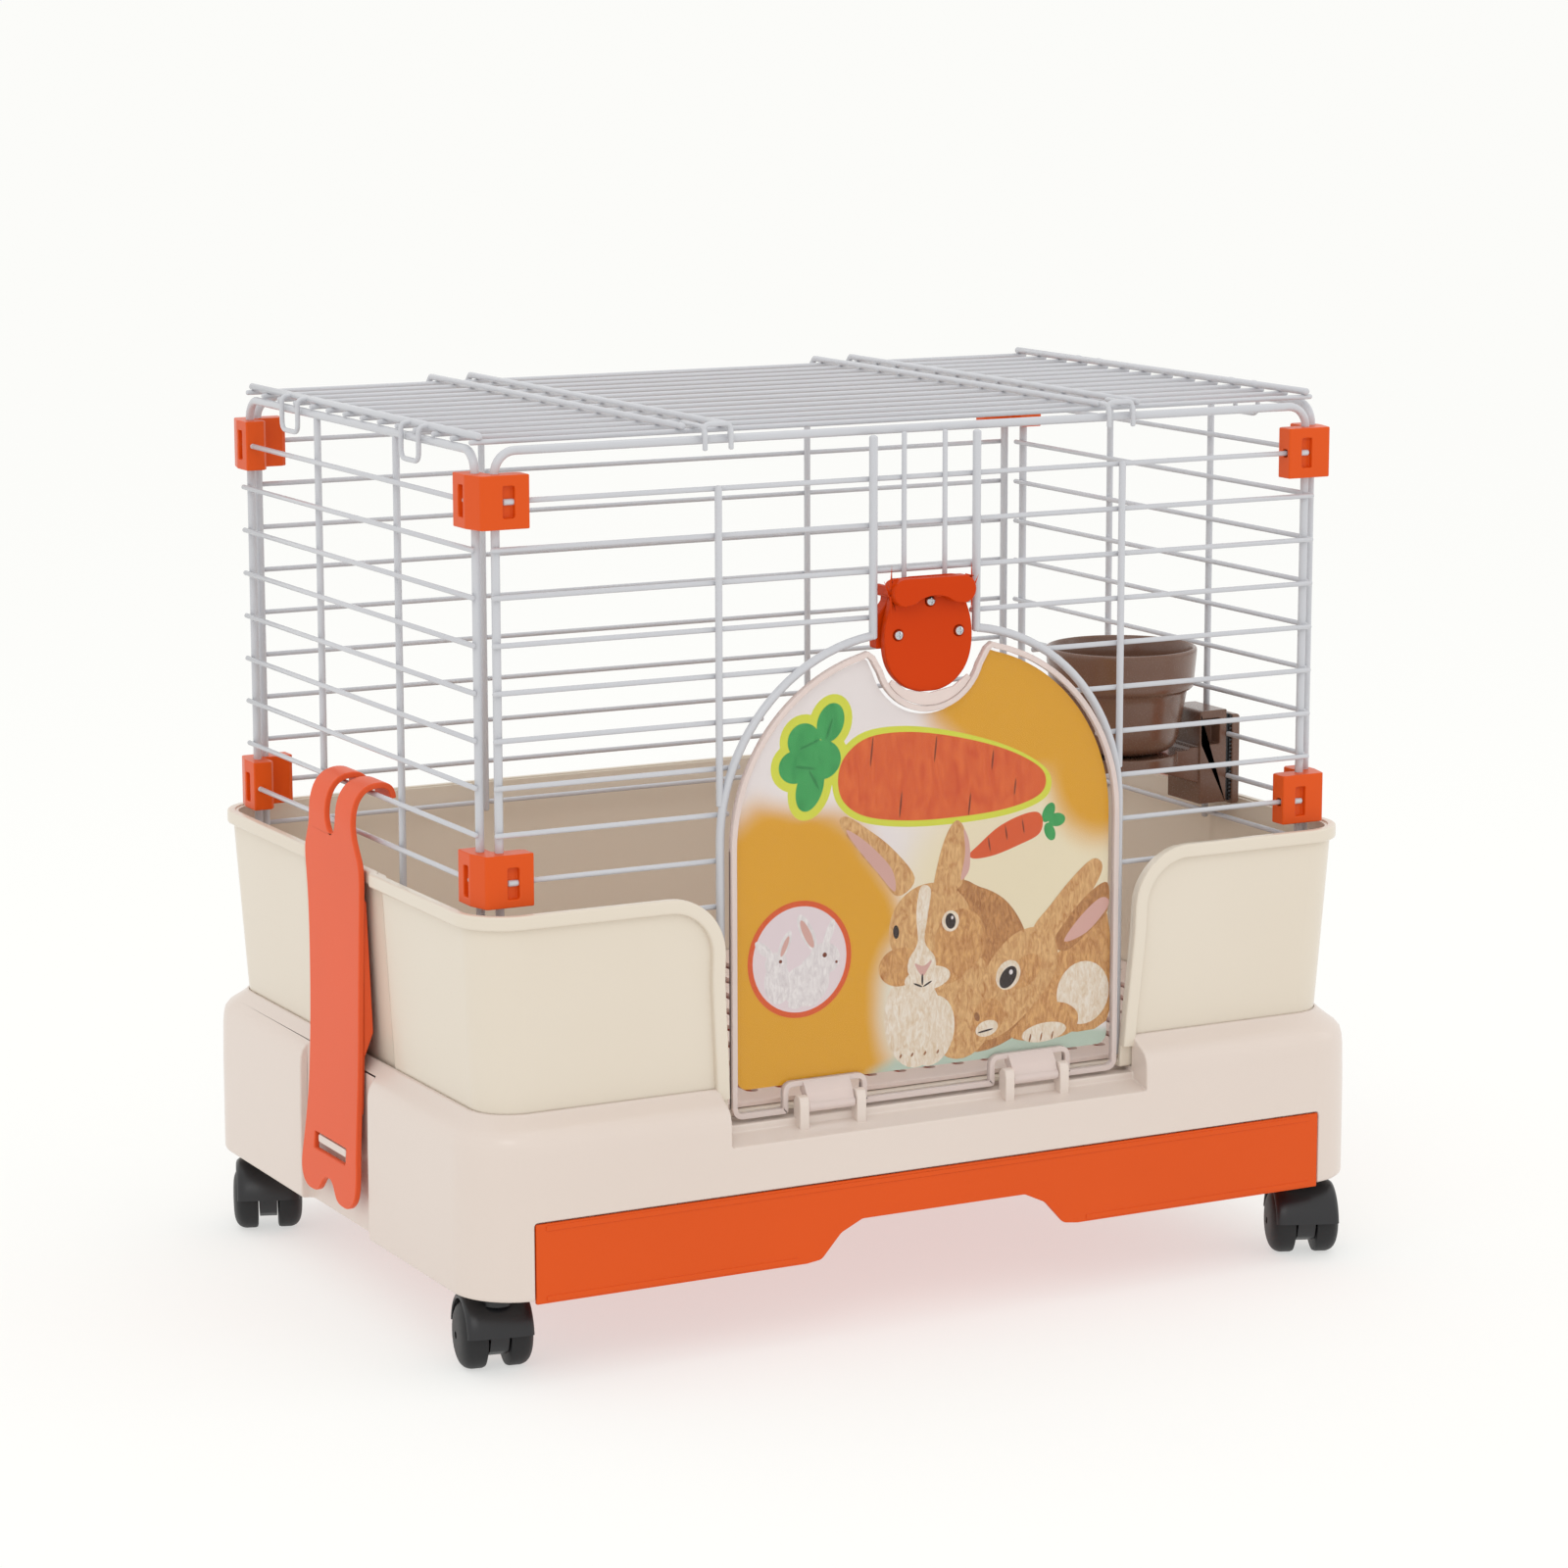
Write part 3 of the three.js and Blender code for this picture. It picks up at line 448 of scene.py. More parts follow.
def build_base():
    profile = [(1.2, 1.2, 38, 50.5), (0, 0, 38, 52), (0.1, 0.1, 38, 110), (0.5, 0.5, 38, 136),
        (0.9, 0.9, 38, 142), (2.0, 2.0, 37, 146.2), (4.4, 4.6, 35.5, 149.6), (7.6, 8.8, 33, 152.2),
        (10.6, 13.2, 30.5,
        154.8), (12.8, 16.6, 29, 157.2),
        (14, 18, 28, 158.7)]
    shell = Geo().rings([plan(BASE_HX - dx, BASE_HY - dy, r, z) for dx, dy, r, z in profile])
    sill = [(-232, 122.7), (-202.4, 130.8), (-202.4, 135.2), (-190, 135.2), (-190, 182), (-232, 182)]
    recess = rounded([(-274.1, 30), (274.1, 30), (274.1, 97.5), (-274.1, 97.5)], [0, 0, 2.5, 2.5], 4)
    cutters = [
        Geo().rings([plan(268.6, 178, 12, 90), plan(268.6, 178, 12, 141)]),
        Geo().rings([plan(294.4, 199.6, 26, 138), plan(294.4, 199.6, 26, 166)]),
        Geo().block(-271.6, 271.6, -225, 196, 74.7, 95.6),
        Geo().block(-262, 262, -226, 196, 40, 80),
        Geo().prism(recess, "xz", -227, -215.8),
        Geo().prism(sill, "yz", -144.8, 144.8),
        Geo().block(-262, 262, 199.6, 216, 40, 134),
    ]
    for s in (-1, 1):
        notch = rounded([(-53, 303), (53, 303), (58, 330), (-58, 330)], [4, 4, 0, 0], 4)
        cutters.append(Geo().prism([(s * x, y) for y, x in notch], "xy", 40, 175))
        for t in (-1, 1):
            cutters.append(Geo().lathe([(0.01, 40), (4.7, 40), (4.7, 76), (0.01, 76)],
                (s * 283, t * 184, 0), n=24))
    piece("base_shell", shell, SHELL, "cage", ["base_frame"], cutters, bevel=1.1, steps=3, sharp=50)
    lugs = Geo()
    for s in (-1, 1):
        for u in LUGS:
            outline = rounded([(-208.9, 121), (-199.6, 126), (-199.9, 146.2), (-203.4, 149.4),
                (-207.6, 148.2),
                (-208.9, 143.4)], [0, 0, 2.2, 2.6, 2.6, 3], 5)
            lugs.prism(outline, "yz", s * u - 3.2, s * u + 3.2)
        nub = rounded([(-22, 95), (22, 95), (22, 100.2), (-22, 100.2)], 1.6, 4)
        lugs.prism(nub, "yz", min(s * 301, s * 311), max(s * 301, s * 311))
    piece("base_hinge_lugs", lugs, SHELL, "cage", bevel=0.7, steps=3)


# ---------------------------------------------------------------- splash tub

TUB_Z0, RIM_Z = 138.3, 277.8
CUT_R, CUT_CX = 37, 179.6


def tub_y(z):
    """Distance of the outer face of the tub's front wall from the middle, at height z."""
    return 198.4 + (z - TUB_Z0) * 0.0535


def build_tub():
    outer = Geo().rings([
        plan(292.2, 197.8, 24.5, TUB_Z0, 2), plan(293, 198.4, 25, TUB_Z0 + 2, 2), plan(295.2, tub_y(176),
        25.6, 176, 2),
        plan(299.4, tub_y(248), 26.6, 248, 2), plan(300.6, 205.2, 27, 268, 2), plan(300.6, 205.2, 27,
        RIM_Z - 1, 2)])
    side = [(137.2, 120), (137.4, 146), (139, 174), (141.2, 204), (142.6, 226)]
    bend = arc(CUT_CX, RIM_Z - CUT_R, CUT_R - 0.2, 180, 90, 16)
    cutters = [
        Geo().rings([plan(290.3, 195.7, 23, TUB_Z0 + 3, 2), plan(297.9, 202.6, 25, RIM_Z + 6, 2)]),
        Geo().rings([plan(279, 184, 16, 120), plan(279, 184, 16, 150)]),
        Geo().prism(mirrored(side + bend + [(CUT_CX, 330)]), "xz", -240, -170),
    ]
    piece("tub_wall", outer, TUB, "cage", ["splash_tub"], cutters, bevel=0.5, steps=2, sharp=45)
    sill = Geo().block(-150, 150, -193.4, -184.2, TUB_Z0 + 0.1, TUB_Z0 + 2.9)
    piece("tub_sill", sill, TUB, "cage", bevel=0.5, steps=2)

    # The rolled lip: round the rim, then down both edges of the door opening.
    wide = 4.25
    path = []
    edge = [(x + wide, z) for x, z in smooth_line([(137.8, 152)] + side[2:], 3)]
    edge += arc(CUT_CX, RIM_Z - CUT_R, CUT_R - wide, 180, 90, 16)
    for x, z in edge:
        path.append((x, -tub_y(z) - 1.7, z, 0, -1))
    hx, hy, r = 303, 207, 30
    lane = []
    for k in range(7):
        t = k / 6
        lane.append((hx - 3 * t * t * (3 - 2 * t), 53.5 - 7 * t))
    ring = arc(hx - r, -hy + r, r, 270, 360, 12) + [(x, -y) for x, y in lane] + [(x, y) for x,
        y in reversed(lane)]
    ring += arc(hx - r, hy - r, r, 0, 90, 12)
    ring += [(-x, y) for x, y in reversed(ring)]
    for x, y in ring:
        cx, cy = math.copysign(hx - r, x), math.copysign(hy - r, y)
        n = Vector((x - cx, y - cy if abs(y) > hy - r else 0)).normalized()
        path.append((x, y, RIM_Z - wide, n.x, n.y))
    for x, z in reversed(edge):
        path.append((-x, -tub_y(z) - 1.7, z, 0, -1))
    section = rounded([(-wide, -3.1), (wide, -3.1), (wide, 2.0), (-wide, 2.0)], [0.6, 0.6, 1.7, 1.5], 4)
    rings = []
    for i, (x, y, z, nx, ny) in enumerate(path):
        a, b = path[max(0, i - 1)], path[min(len(path) - 1, i + 1)]
        t = Vector((b[0] - a[0], b[1] - a[1], b[2] - a[2])).normalized()
        n = Vector((nx, ny, 0))
        n = (n - t * n.dot(t)).normalized()
        side_way = t.cross(n)
        rings.append([Vector((x, y, z)) + side_way * u + n * v for u, v in section])
    piece("tub_lip", Geo().rings(rings), TUB, "cage", sharp=60, flat=False)


# ---------------------------------------------------------------- litter drawer and floor grid


def build_drawer():
    half, top, low = 273.4, 96.7, 48.6
    hand = [(-95, low), (-85, 49.9), (-71.5, 64.8), (-57, 71.6), (57, 71.6), (71.5, 64.8), (85, 49.9),
        (95, low)]
    outline = [(-half, top), (-half, low)] + rounded(hand, [0, 6, 8, 6, 6, 8, 6, 0], 5) + [(half, low),
        (half, top)]
    face = Geo().prism(outline, "xz", -219.2, -216.2)
    joins = [Geo().block(-270, 270, -216.6, 190, 75, 94)]
    cutters = [Geo().rings([plan(265, 198, 9, 77.6), plan(267.4, 200.6, 11, 110)]).moved(
        Matrix.Translation((0, -12.9, 0)))]
    piece("drawer_tray", face, ORANGE, "drawer", ["litter_drawer"], cutters, joins, bevel=0.7,
        steps=3)
    bead = Geo()
    for s in (-1, 1):
        bar = rounded([(-219.6, 50), (-218.8, 50), (-218.8, 53.2), (-219.6, 53.2)], 0.4, 3)
        bead.prism(bar, "yz", *sorted((s * 101, s * 267)))
        bead.prism([(y, z + 42.2) for y, z in bar], "yz", *sorted((0, s * 267)))
    piece("drawer_bead", bead, ORANGE, "drawer", bevel=0.15, steps=2)


def build_grid():
    half = 190.8
    sheet = Geo().rings([plan(289.4, half, 22, z, 2.4, 68) for z in (141.6, 144.6)])
    sheet.moved(Matrix.Translation((0, 3.6, 0)))
    slots = Geo()
    for i in range(27):
        x = (i - 13) * 20.6
        for k in range(4):
            y = (k - 1.5) * 88 + 3.6
            outline = arc(x, y - 34, 3.9, 180, 360, 8) + arc(x, y + 34, 3.9, 0, 180, 8)
            slots.prism(outline, "xy", 140, 146)
    piece("floor_grid_plate", sheet, GRID, "floor", ["floor_grid"], [slots], bevel=0.5, steps=2)


# ---------------------------------------------------------------- wire panels

TOP_Z, FIRST_Z, PITCH, ROWS = 543.6, 515.1, 27.65, 10
THICK, MID, THIN = 2.6, 2.2, 1.6
FRONT_Y, SIDE_POST_Y, POST_X = 184.0, 175.4, 277.9
LEFT_X, RIGHT_X = -286.2, 288.0
ROW_Y = FRONT_Y + THICK + THIN - 0.35
ARCH_X, ARCH_R, ARCH_Z = 138.6, 117.0, 305.5
ARCH_Y = ROW_Y + THIN + THICK - 0.35
POST_Z0 = 262


def row_z(k):
    return FIRST_Z - PITCH * k


def hoop(half, plane, at):
    flat = mirrored([(half, POST_Z0), (half, 400)] + arc(half - 13, TOP_Z - 13, 13, 0, 90, 8))
    return [(u, at, z) if plane == "y" else (at, u, z) for u, z in flat]


def build_front_panel():
    g = Geo().tube(hoop(POST_X, "y", -FRONT_Y), THICK, 16)
    for k in range(ROWS):
        z = row_z(k)
        if k < 3:
            g.tube([(-281.5, -ROW_Y, z), (281.5, -ROW_Y, z)], THIN)
            continue
        inner = 34 if k == 3 else ARCH_X
        if 3 < k and z > ARCH_Z:
            inner = ARCH_X - ARCH_R + math.sqrt(ARCH_R ** 2 - (z - ARCH_Z) ** 2)
        stop = inner - (0 if k == 3 else 6 if k < 8 else 1)
        for s in (-1, 1):
            g.tube([(s * stop, -ROW_Y, z), (s * 281.5, -ROW_Y, z)], THIN)
    a0 = math.degrees(math.acos((35.5 - ARCH_X + ARCH_R) / ARCH_R))
    bend = arc(ARCH_X - ARCH_R, ARCH_Z, ARCH_R, 90, 0, 24)
    for s in (-1, 1):
        arch = [p for p in bend if p[0] > 30] + [(ARCH_X, 220), (ARCH_X, 146.4)]
        g.tube([(s * x, -ARCH_Y, z) for x, z in arch], THICK, 16)
        top = ARCH_Z + ARCH_R * math.sin(math.radians(a0))
        g.tube([(s * 35.5, -ARCH_Y, TOP_Z - 3.5), (s * 35.5, -ARCH_Y, top - 1)], THICK, 16)
        g.tube([(s * ARCH_X, -ROW_Y - THIN - MID + 0.3, 328), (s * ARCH_X, -ROW_Y - THIN - MID + 0.3,
            FIRST_Z + 1)],
            MID)
        g.tube([(s * 14, -ROW_Y - 2 * THIN + 0.3, 437), (s * 14, -ROW_Y - 2 * THIN + 0.3, TOP_Z - 2)], THIN)
    piece("front_wires", g, WIRE, "cage", ["front_wire_panel"], flat=False)


def build_other_panels():
    g = Geo().tube(hoop(POST_X, "y", FRONT_Y), THICK, 16)
    for k in range(ROWS):
        g.tube([(-281.5, ROW_Y, row_z(k)), (281.5, ROW_Y, row_z(k))], THIN)
    for x in (-121.5, 121.5):
        g.tube([(x, FRONT_Y, POST_Z0), (x, FRONT_Y, TOP_Z)], MID)
    piece("rear_wires", g, WIRE, "cage", ["rear_wire_panel"], flat=False)
    for name, at in (("left", LEFT_X), ("right", RIGHT_X)):
        g = Geo().tube(hoop(SIDE_POST_Y, "x", at), THICK, 16)
        across = at - THICK - THIN + 0.35
        for k in range(ROWS):
            g.tube([(across, -179, row_z(k)), (across, 179, row_z(k))], THIN)
        for y in (-61.4, 61.4):
            g.tube([(at, y, POST_Z0), (at, y, TOP_Z)], MID)
        piece(f"{name}_wires", g, WIRE, "cage", [f"{name}_wire_panel"], flat=False)


def build_roof():
    low = TOP_Z + THICK + 0.3 + THIN
    high = low + THIN + MID - 0.35
    g = Geo()
    for i in range(14):
        y = -174 + i * 348 / 13
        g.tube([(-288, y, low), (288, y, low)], THIN)
    for x in (-283.6, 283.6):
        g.tube([(x, -176, high), (x, 176.5, high)], MID)
    for x in (-156, -128, 128, 156):
        hook = [(FRONT_Y - 6, high), (FRONT_Y + 1, high)]
        hook += [(FRONT_Y + u, TOP_Z + v) for u, v in arc(0, 0.6, 6.0, 62, -140, 14)]
        run = [(x, -180, high), (x, 0, high)] + [(x, y, z) for y, z in smooth_line(hook, 2)]
        g.tube(run, 2.0)
    r = 1.55
    for s in (-1, 1):
        out = LEFT_X - 5 if s < 0 else RIGHT_X + 5.6
        for y in (-94, 94):
            loop = rounded([(s * 282, y - 13, high), (out, y - 13, high), (out, y - 13, 531),
                (out, y + 13, 531),
                (out, y + 13, high), (s * 282, y + 13, high)], [0, 4, 6, 6, 4, 0], 6)
            g.tube(loop, r)
        x = s * 138
        ring = rounded([(x - 8.5, -160, high), (x - 8.5, -190.2, high), (x - 8.5, -190.2, 538.5)],
            [0, 5, 0], 6)
        other = [(2 * x - a, b, c) for a, b, c in ring]
        g.tube(ring, r)
        g.tube(other, r)
        loop = rounded([(x - 8.5, -189, 546), (x - 8.5, -189, high + 1.4), (x + 8.5, -189, high + 1.4),
            (x + 8.5, -189, 546)], [0, 7, 7, 0], 6)
        g.tube(loop, r)
    piece("roof_wires", g, WIRE, "roof", ["roof_wire_panel"], flat=False)


# ---------------------------------------------------------------- corner clips


def build_clips():
    corners = {"front_left": (-1, -1), "front_right": (1, -1), "rear_left": (-1, 1), "rear_right": (1, 1)}
    for tag, (sx, sy) in corners.items():
        for level, z0, row in (("upper", 499.5, 0), ("lower", 279.9, 8)):
            side = -LEFT_X if sx < 0 else RIGHT_X
            row_x = side + THICK + THIN - 0.35 if sx < 0 else side - THICK - THIN + 0.35
            z1, zm = z0 + 31.2, row_z(row)
            outline = rounded([(294.2, 178.5), (290.3, 193.4), (260, 193.4), (260, 181.2), (263, 179.2),
                (280, 179.2), (280, 164), (282.4, 161.4),
                (294.2, 161.4)],
                [8, 2.6, 1.2, 1.2, 1.5, 2.5, 1.5, 1.2, 1.2], 5)
            body = Geo().prism(outline, "xy", z0, z1)
            cutters = [
                Geo().prism(rounded([(269.4, zm - 9.2), (276.8, zm - 9.2), (276.8, zm + 9.4),
                (269.4, zm + 9.4)],
                [1.6, 1, 1, 1.6], 4), "xz", 190.2, 196),
                Geo().prism(rounded([(169.4, zm - 9.2), (175.9, zm - 9.2), (175.9, zm + 9.4),
                (169.4, zm + 9.4)],
                [1.6, 1, 1, 1.6], 4), "yz", 291, 297),
                Geo().lathe([(0.01, 255), (2.5, 255), (2.5, 269), (0.01, 269)], (0, ROW_Y, zm), "x", 20),
                Geo().block(255, 263.6, ROW_Y, ROW_Y + 2.6, zm - 2.3, zm + 2.3),
            ]
            for g in [body] + cutters:
                g.verts = [(sx * x, sy * y, z) for x, y, z in g.verts]
            name = f"clip_{level}_{tag}"
            piece(name, body, ORANGE, "cage", [f"corner_clip_{level}_{tag}"], cutters,
                bevel=0.7, steps=3)
            ends = Geo()
            ends.tube([(268, ROW_Y + 2.6, zm), (275, ROW_Y + 2.6, zm)], 1.9)
            ends.tube([(row_x if sx < 0 else 291.6, 160, zm), (row_x if sx < 0 else 291.6, 174.4, zm)], 1.7)
            ends.verts = [(sx * x, sy * y, z) for x, y, z in ends.verts]
            piece(f"clip_wire_end_{level}_{tag}", ends, WIRE, "cage", flat=False)


# ---------------------------------------------------------------- door, label and latch

DOOR_HALF, DOOR_R, DOOR_ZC, DOOR_Z0 = 134.6, 115.0, 300.5, 137.2
NOTCH_R = 34.5


def door_outline(inset=0.0, z0=DOOR_Z0, hinges=True):
    half, r, cx = DOOR_HALF - inset, DOOR_R - inset, DOOR_HALF - DOOR_R
    points = []
    if hinges:
        points += rounded([(0, z0), (46.5, z0), (46.5, 153.2), (97, 153.2), (97, z0), (110, z0)],
            [0, 2.5, 3, 3, 2.5, 0], 4)[1:-1]
    points += arc(half - 7, z0 + 7, 7, -90, 0, 6)
    end = math.degrees(math.acos((47 - cx) / r))
    points += arc(cx, DOOR_ZC, r, 0, end, 24)
    notch = NOTCH_R + inset
    lead = arc(0, 412, notch, -18, -86, 10)
    shoulder = [(42.6, 413.6 - inset), (38.2 + inset * 0.6, 410.4 - inset * 0.6)]
    points += shoulder + lead
    return mirrored(points)


def band(outline, width, y0, y1):
    """A flat band of constant width just inside an outline, as one ring of solid wall."""
    count = len(outline)
    inner = []
    for i, p in enumerate(outline):
        a, b = Vector(outline[i - 1]), Vector(outline[(i + 1) % count])
        t = (b - a).normalized()
        inner.append((p[0] - t.y * width, p[1] + t.x * width))
    rings = []
    for (ox, oz), (ix, iz) in zip(outline, inner):
        rings.append([(ox, y0, oz), (ox, y1, oz), (ix, y1, iz), (ix, y0, iz)])
    return Geo().rings(rings, closed=True)


def build_door():
    outline = door_outline()
    plate = Geo().prism(outline, "xz", -197.5, -194.85)
    piece("door_plate", plate, CLEAR, "door", ["front_door"], bevel=0.35, steps=2)
    rim = band(outline, 3.5, -199.3, -194.7)
    piece("door_rim", rim, RIM, "door", bevel=0.5, steps=2)
    lip = Geo().prism([(x, z) for x, z in arc(0, 412, NOTCH_R - 0.4, -146, -34, 16)]
        + [(26, 395), (16, 388.2), (0, 385.4), (-16, 388.2), (-26, 395)], "xz", -198.6, -197.0)
    piece("door_catch_lip", lip, RIM, "door", bevel=0.3, steps=2)
    hinge = Geo()
    for s in (-1, 1):
        lo, hi = sorted((s * 55.7, s * 87.3))
        hinge.lathe([(0.8, lo), (3.3, lo), (3.3, hi), (0.8, hi)], (0, HINGE_Y, HINGE_Z), "x", 28)
        hinge.prism(rounded([(-207, 142.6), (-203.4, 142.6), (-198.6, 147), (-195.2, 150), (-195.2, 156),
            (-199.4, 156), (-203.8, 149.6)], 1.0, 3), "yz", lo, hi)
        hinge.lathe([(0.01, s * 71.5 - 22), (1.8, s * 71.5 - 22), (1.8, s * 71.5 + 22),
            (0.01, s * 71.5 + 22)],
            (0, HINGE_Y, HINGE_Z), "x", 20)
    piece("door_hinge_barrels", hinge, RIM, "door", bevel=0.3, steps=2)


PICTURE_Y, LAYER = -194.302, 0.0022


def build_label():
    gold, pale, white = (228, 166, 30), (243, 232, 198), (242, 236, 233)
    ground = printed_ground("label_ground", white, [
        (pale, 70, 262, 92, 74, 0.28), (gold, -92, 236, 78, 92, 0.16), (gold, -84, 170, 70, 56, 0.1),
        (gold, 84, 392, 84, 62, 0.2), (gold, 128, 330, 40, 46, 0.3), ((236, 232, 214), 2, 196, 34, 52, 0.3),
        (white, -70, 372, 62, 52, 0.2), ((190, 208, 190), 60, 150, 92, 20, 0.12)])
    film = Geo().prism(door_outline(5.2, 154, hinges=False), "xz", -194.3, -193.8)
    piece("label_film", film, ground, "door", ["door_label"], flat=False)

    prints = {
        "carrot": fur("print_carrot", (214, 78, 26), (232, 108, 44), 90, 30),
        "lime": moulded("print_lime", (220, 226, 70), rough=0.3, vary=0.02),
        "leaf": fur("print_leaf", (44, 148, 74), (66, 172, 92), 20, 26),
        "ring": moulded("print_ring", (226, 92, 36), rough=0.3, vary=0.03),
        "snow": fur("print_snow", (214, 206, 206), (246, 243, 240), 10, 90),
        "pink": moulded("print_pink", (222, 176, 164), rough=0.3, vary=0.05),
        "dark": moulded("print_dark", (48, 32, 28), rough=0.3, vary=0.1),
        "cream": fur("print_cream_fur", (222, 196, 158), (246, 238, 222), 5, 80),
        "tan": fur("print_tan_fur", (186, 122, 62), (232, 190, 130), 12, 70),
        "tan_deep": fur("print_tan_deep", (150, 92, 44), (208, 152, 92), -10, 80),
        "tan_side": fur("print_tan_side", (176, 112, 56), (226, 176, 112), 62, 70),
        "tan_shade": fur("print_tan_shade", (120, 74, 42), (176, 122, 74), 30, 90),
        "line": moulded("print_line", (120, 52, 24), rough=0.3, vary=0.1),
        "leaf_deep": fur("print_leaf_deep", (30, 118, 58), (52, 150, 78), 20, 26),
        "blush": moulded("print_blush", (236, 222, 224), rough=0.3, vary=0.02),
    }
    index = {name: i for i, name in enumerate(prints)}
    g = Geo()
    depth = [PICTURE_Y]

    def patch(points, mat):
        depth[0] -= LAYER
        n = len(points)
        g.put([(x, depth[0], z) for x, z in points], [tuple(range(n))], index[mat])

    def oval(cx, cz, a, b, turn, mat, n=30):
        c, s = math.cos(math.radians(turn)), math.sin(math.radians(turn))
        points = []
        for k in range(n):
            u, v = a * math.cos(2 * math.pi * k / n), b * math.sin(2 * math.pi * k / n)
            points.append((cx + u * c - v * s, cz + u * s + v * c))
        patch(points, mat)

    def blob(points, mat):
        patch(smooth_line(points, 5, closed=True), mat)

    # Carrot with leaves
    lobes = [(-66, 372, 9, 12, -20), (-84, 362, 11, 11, 0), (-90, 347, 11, 10, 0), (-80, 334, 9, 15, -18),
        (-72, 350, 13, 12, 0)]
    body = [(-61, 337), (-56, 351), (-40, 361), (-12, 362), (22, 356), (55, 346), (78, 334), (84, 324),
        (78, 315), (55, 309), (20, 307), (-14, 308), (-42, 313),
        (-57, 323)]
    for x, z, a, b, turn in lobes:
        oval(x, z, a + 5.4, b + 5.4, turn, "lime")
    blob([(12 + (x - 12) * 1.055, 335 + (z - 335) * 1.14) for x, z in body], "lime")
    for x, z, a, b, turn in lobes:
        oval(x, z, a, b, turn, "leaf")
    for x, z, turn in ((-67, 368, 70), (-80, 360, 20), (-83, 346, -10), (-77, 338, -60)):
        oval(x, z, 7, 0.9, turn, "leaf_deep")
    blob(body, "carrot")
    for x, z, a in ((-38, 352, 9), (-18, 318, 8), (6, 350, 8), (30, 314, 7), (46, 340, 6), (62, 322, 5)):
        oval(x, z, a, 0.55, 84, "line")
    # Small carrot
    for x, z, a, b, turn in ((86, 304, 4, 6.5, -30), (92, 299, 6, 4.2, 0), (87, 292, 3.6, 6, 25)):
        oval(x, z, a, b, turn, "leaf")
    blob([(82, 299), (78, 305), (66, 304), (50, 298), (36, 288), (30, 283), (34, 280), (48, 281), (66, 286),
        (79, 291)], "ring")
    for x, z in ((44, 288), (56, 294), (68, 297)):
        oval(x, z, 4.4, 0.5, 100, "line")
    # Round badge with white rabbits
    for row in ((-87, 230, 35.2, 35.8, 0, "ring", 48), (-87, 230, 31.8, 32.4, 0, "blush", 48),
            (-102, 217, 9, 13, 4, "snow"), (-103, 229, 7.6, 7, 10, "snow"),
            (-111, 238, 3, 8, 48, "snow"), (-97, 240, 3.2, 9, -24, "snow"),
            (-97, 239, 1.6, 6.5, -24, "pink"), (-83, 214, 16, 13, 8, "snow"),
            (-78, 219, 11, 14, -20, "snow"), (-70, 229, 10.5, 9.6, -14, "snow"),
            (-82, 246, 4.4, 12.5, 26, "snow"), (-82, 245, 2.5, 9.6, 26, "pink"),
            (-67, 244, 2.6, 9, -22, "snow")):
        oval(*row)
    for x, z, r in ((-70, 231, 1.5), (-100, 230, 1.1), (-62, 226, 0.9)):
        oval(x, z, r, r, 0, "line")
    oval(-90, 203, 5, 3, 0, "snow")
    oval(-79, 203.5, 5, 3, 0, "snow")
    # Brown rabbit facing the front
    blob([(20, 262), (38, 262), (58, 250), (72, 226), (76, 196), (66, 168), (30, 160), (14, 190)], "tan_deep")
    oval(24, 190, 26, 34, 0, "tan")
    blob([(-20, 262), (-33, 276), (-52, 298), (-60, 311), (-55, 314), (-42, 306), (-24, 292), (-8, 272)],
        "tan")
    blob([(-22, 265), (-34, 278), (-50, 297), (-55, 306), (-40, 296), (-24, 279)], "pink")
    blob([(6, 262), (8, 280), (14, 297), (21, 305), (27, 298), (29, 282), (24, 264)], "tan")
    blob([(24, 268), (27, 284), (26, 299), (30, 290), (30, 274)], "pink")
    for row in ((-9, 184, 20, 30, 6, "cream"), (4, 176, 16, 22, -10, "cream"),
            (3, 240, 29, 28, 0, "tan", 40), (24, 230, 18, 20, 0, "tan_side"),
            (-18, 218, 15, 12, 0, "tan_side"), (14, 216, 16, 12, 0, "tan_side"),
            (1, 209, 16, 7.5, 4, "cream")):
        oval(*row)
    blob([(-4, 266), (3, 264), (1, 248), (-1, 232), (6, 222), (6, 214), (-2, 210), (-12, 213), (-12, 222),
        (-6, 232), (-7, 250)], "cream")
    for row in ((17, 243, 6, 6.6, 10, "cream"), (17, 243, 3.6, 4.9, 10, "dark"),
            (18.2, 245, 0.9, 1.1, 0, "snow"), (-21, 240, 2.1, 4.2, 4, "dark")):
        oval(*row)
    blob([(-8, 219), (-2, 217), (4, 220), (0, 213), (-3, 211)], "pink")
    for row in ((-2.6, 208.6, 0.7, 3.6, 0, "dark"), (-5.6, 205.4, 3.4, 0.6, -24, "dark"),
            (1, 205.6, 3.4, 0.6, 26, "dark")):
        oval(*row)
    # Feet
    for x in (-16, -8, 1, 10):
        oval(x, 165, 5.6, 4.6, 0, "cream")
        oval(x - 1.6, 162.4, 1.4, 0.7, 60, "tan_shade")
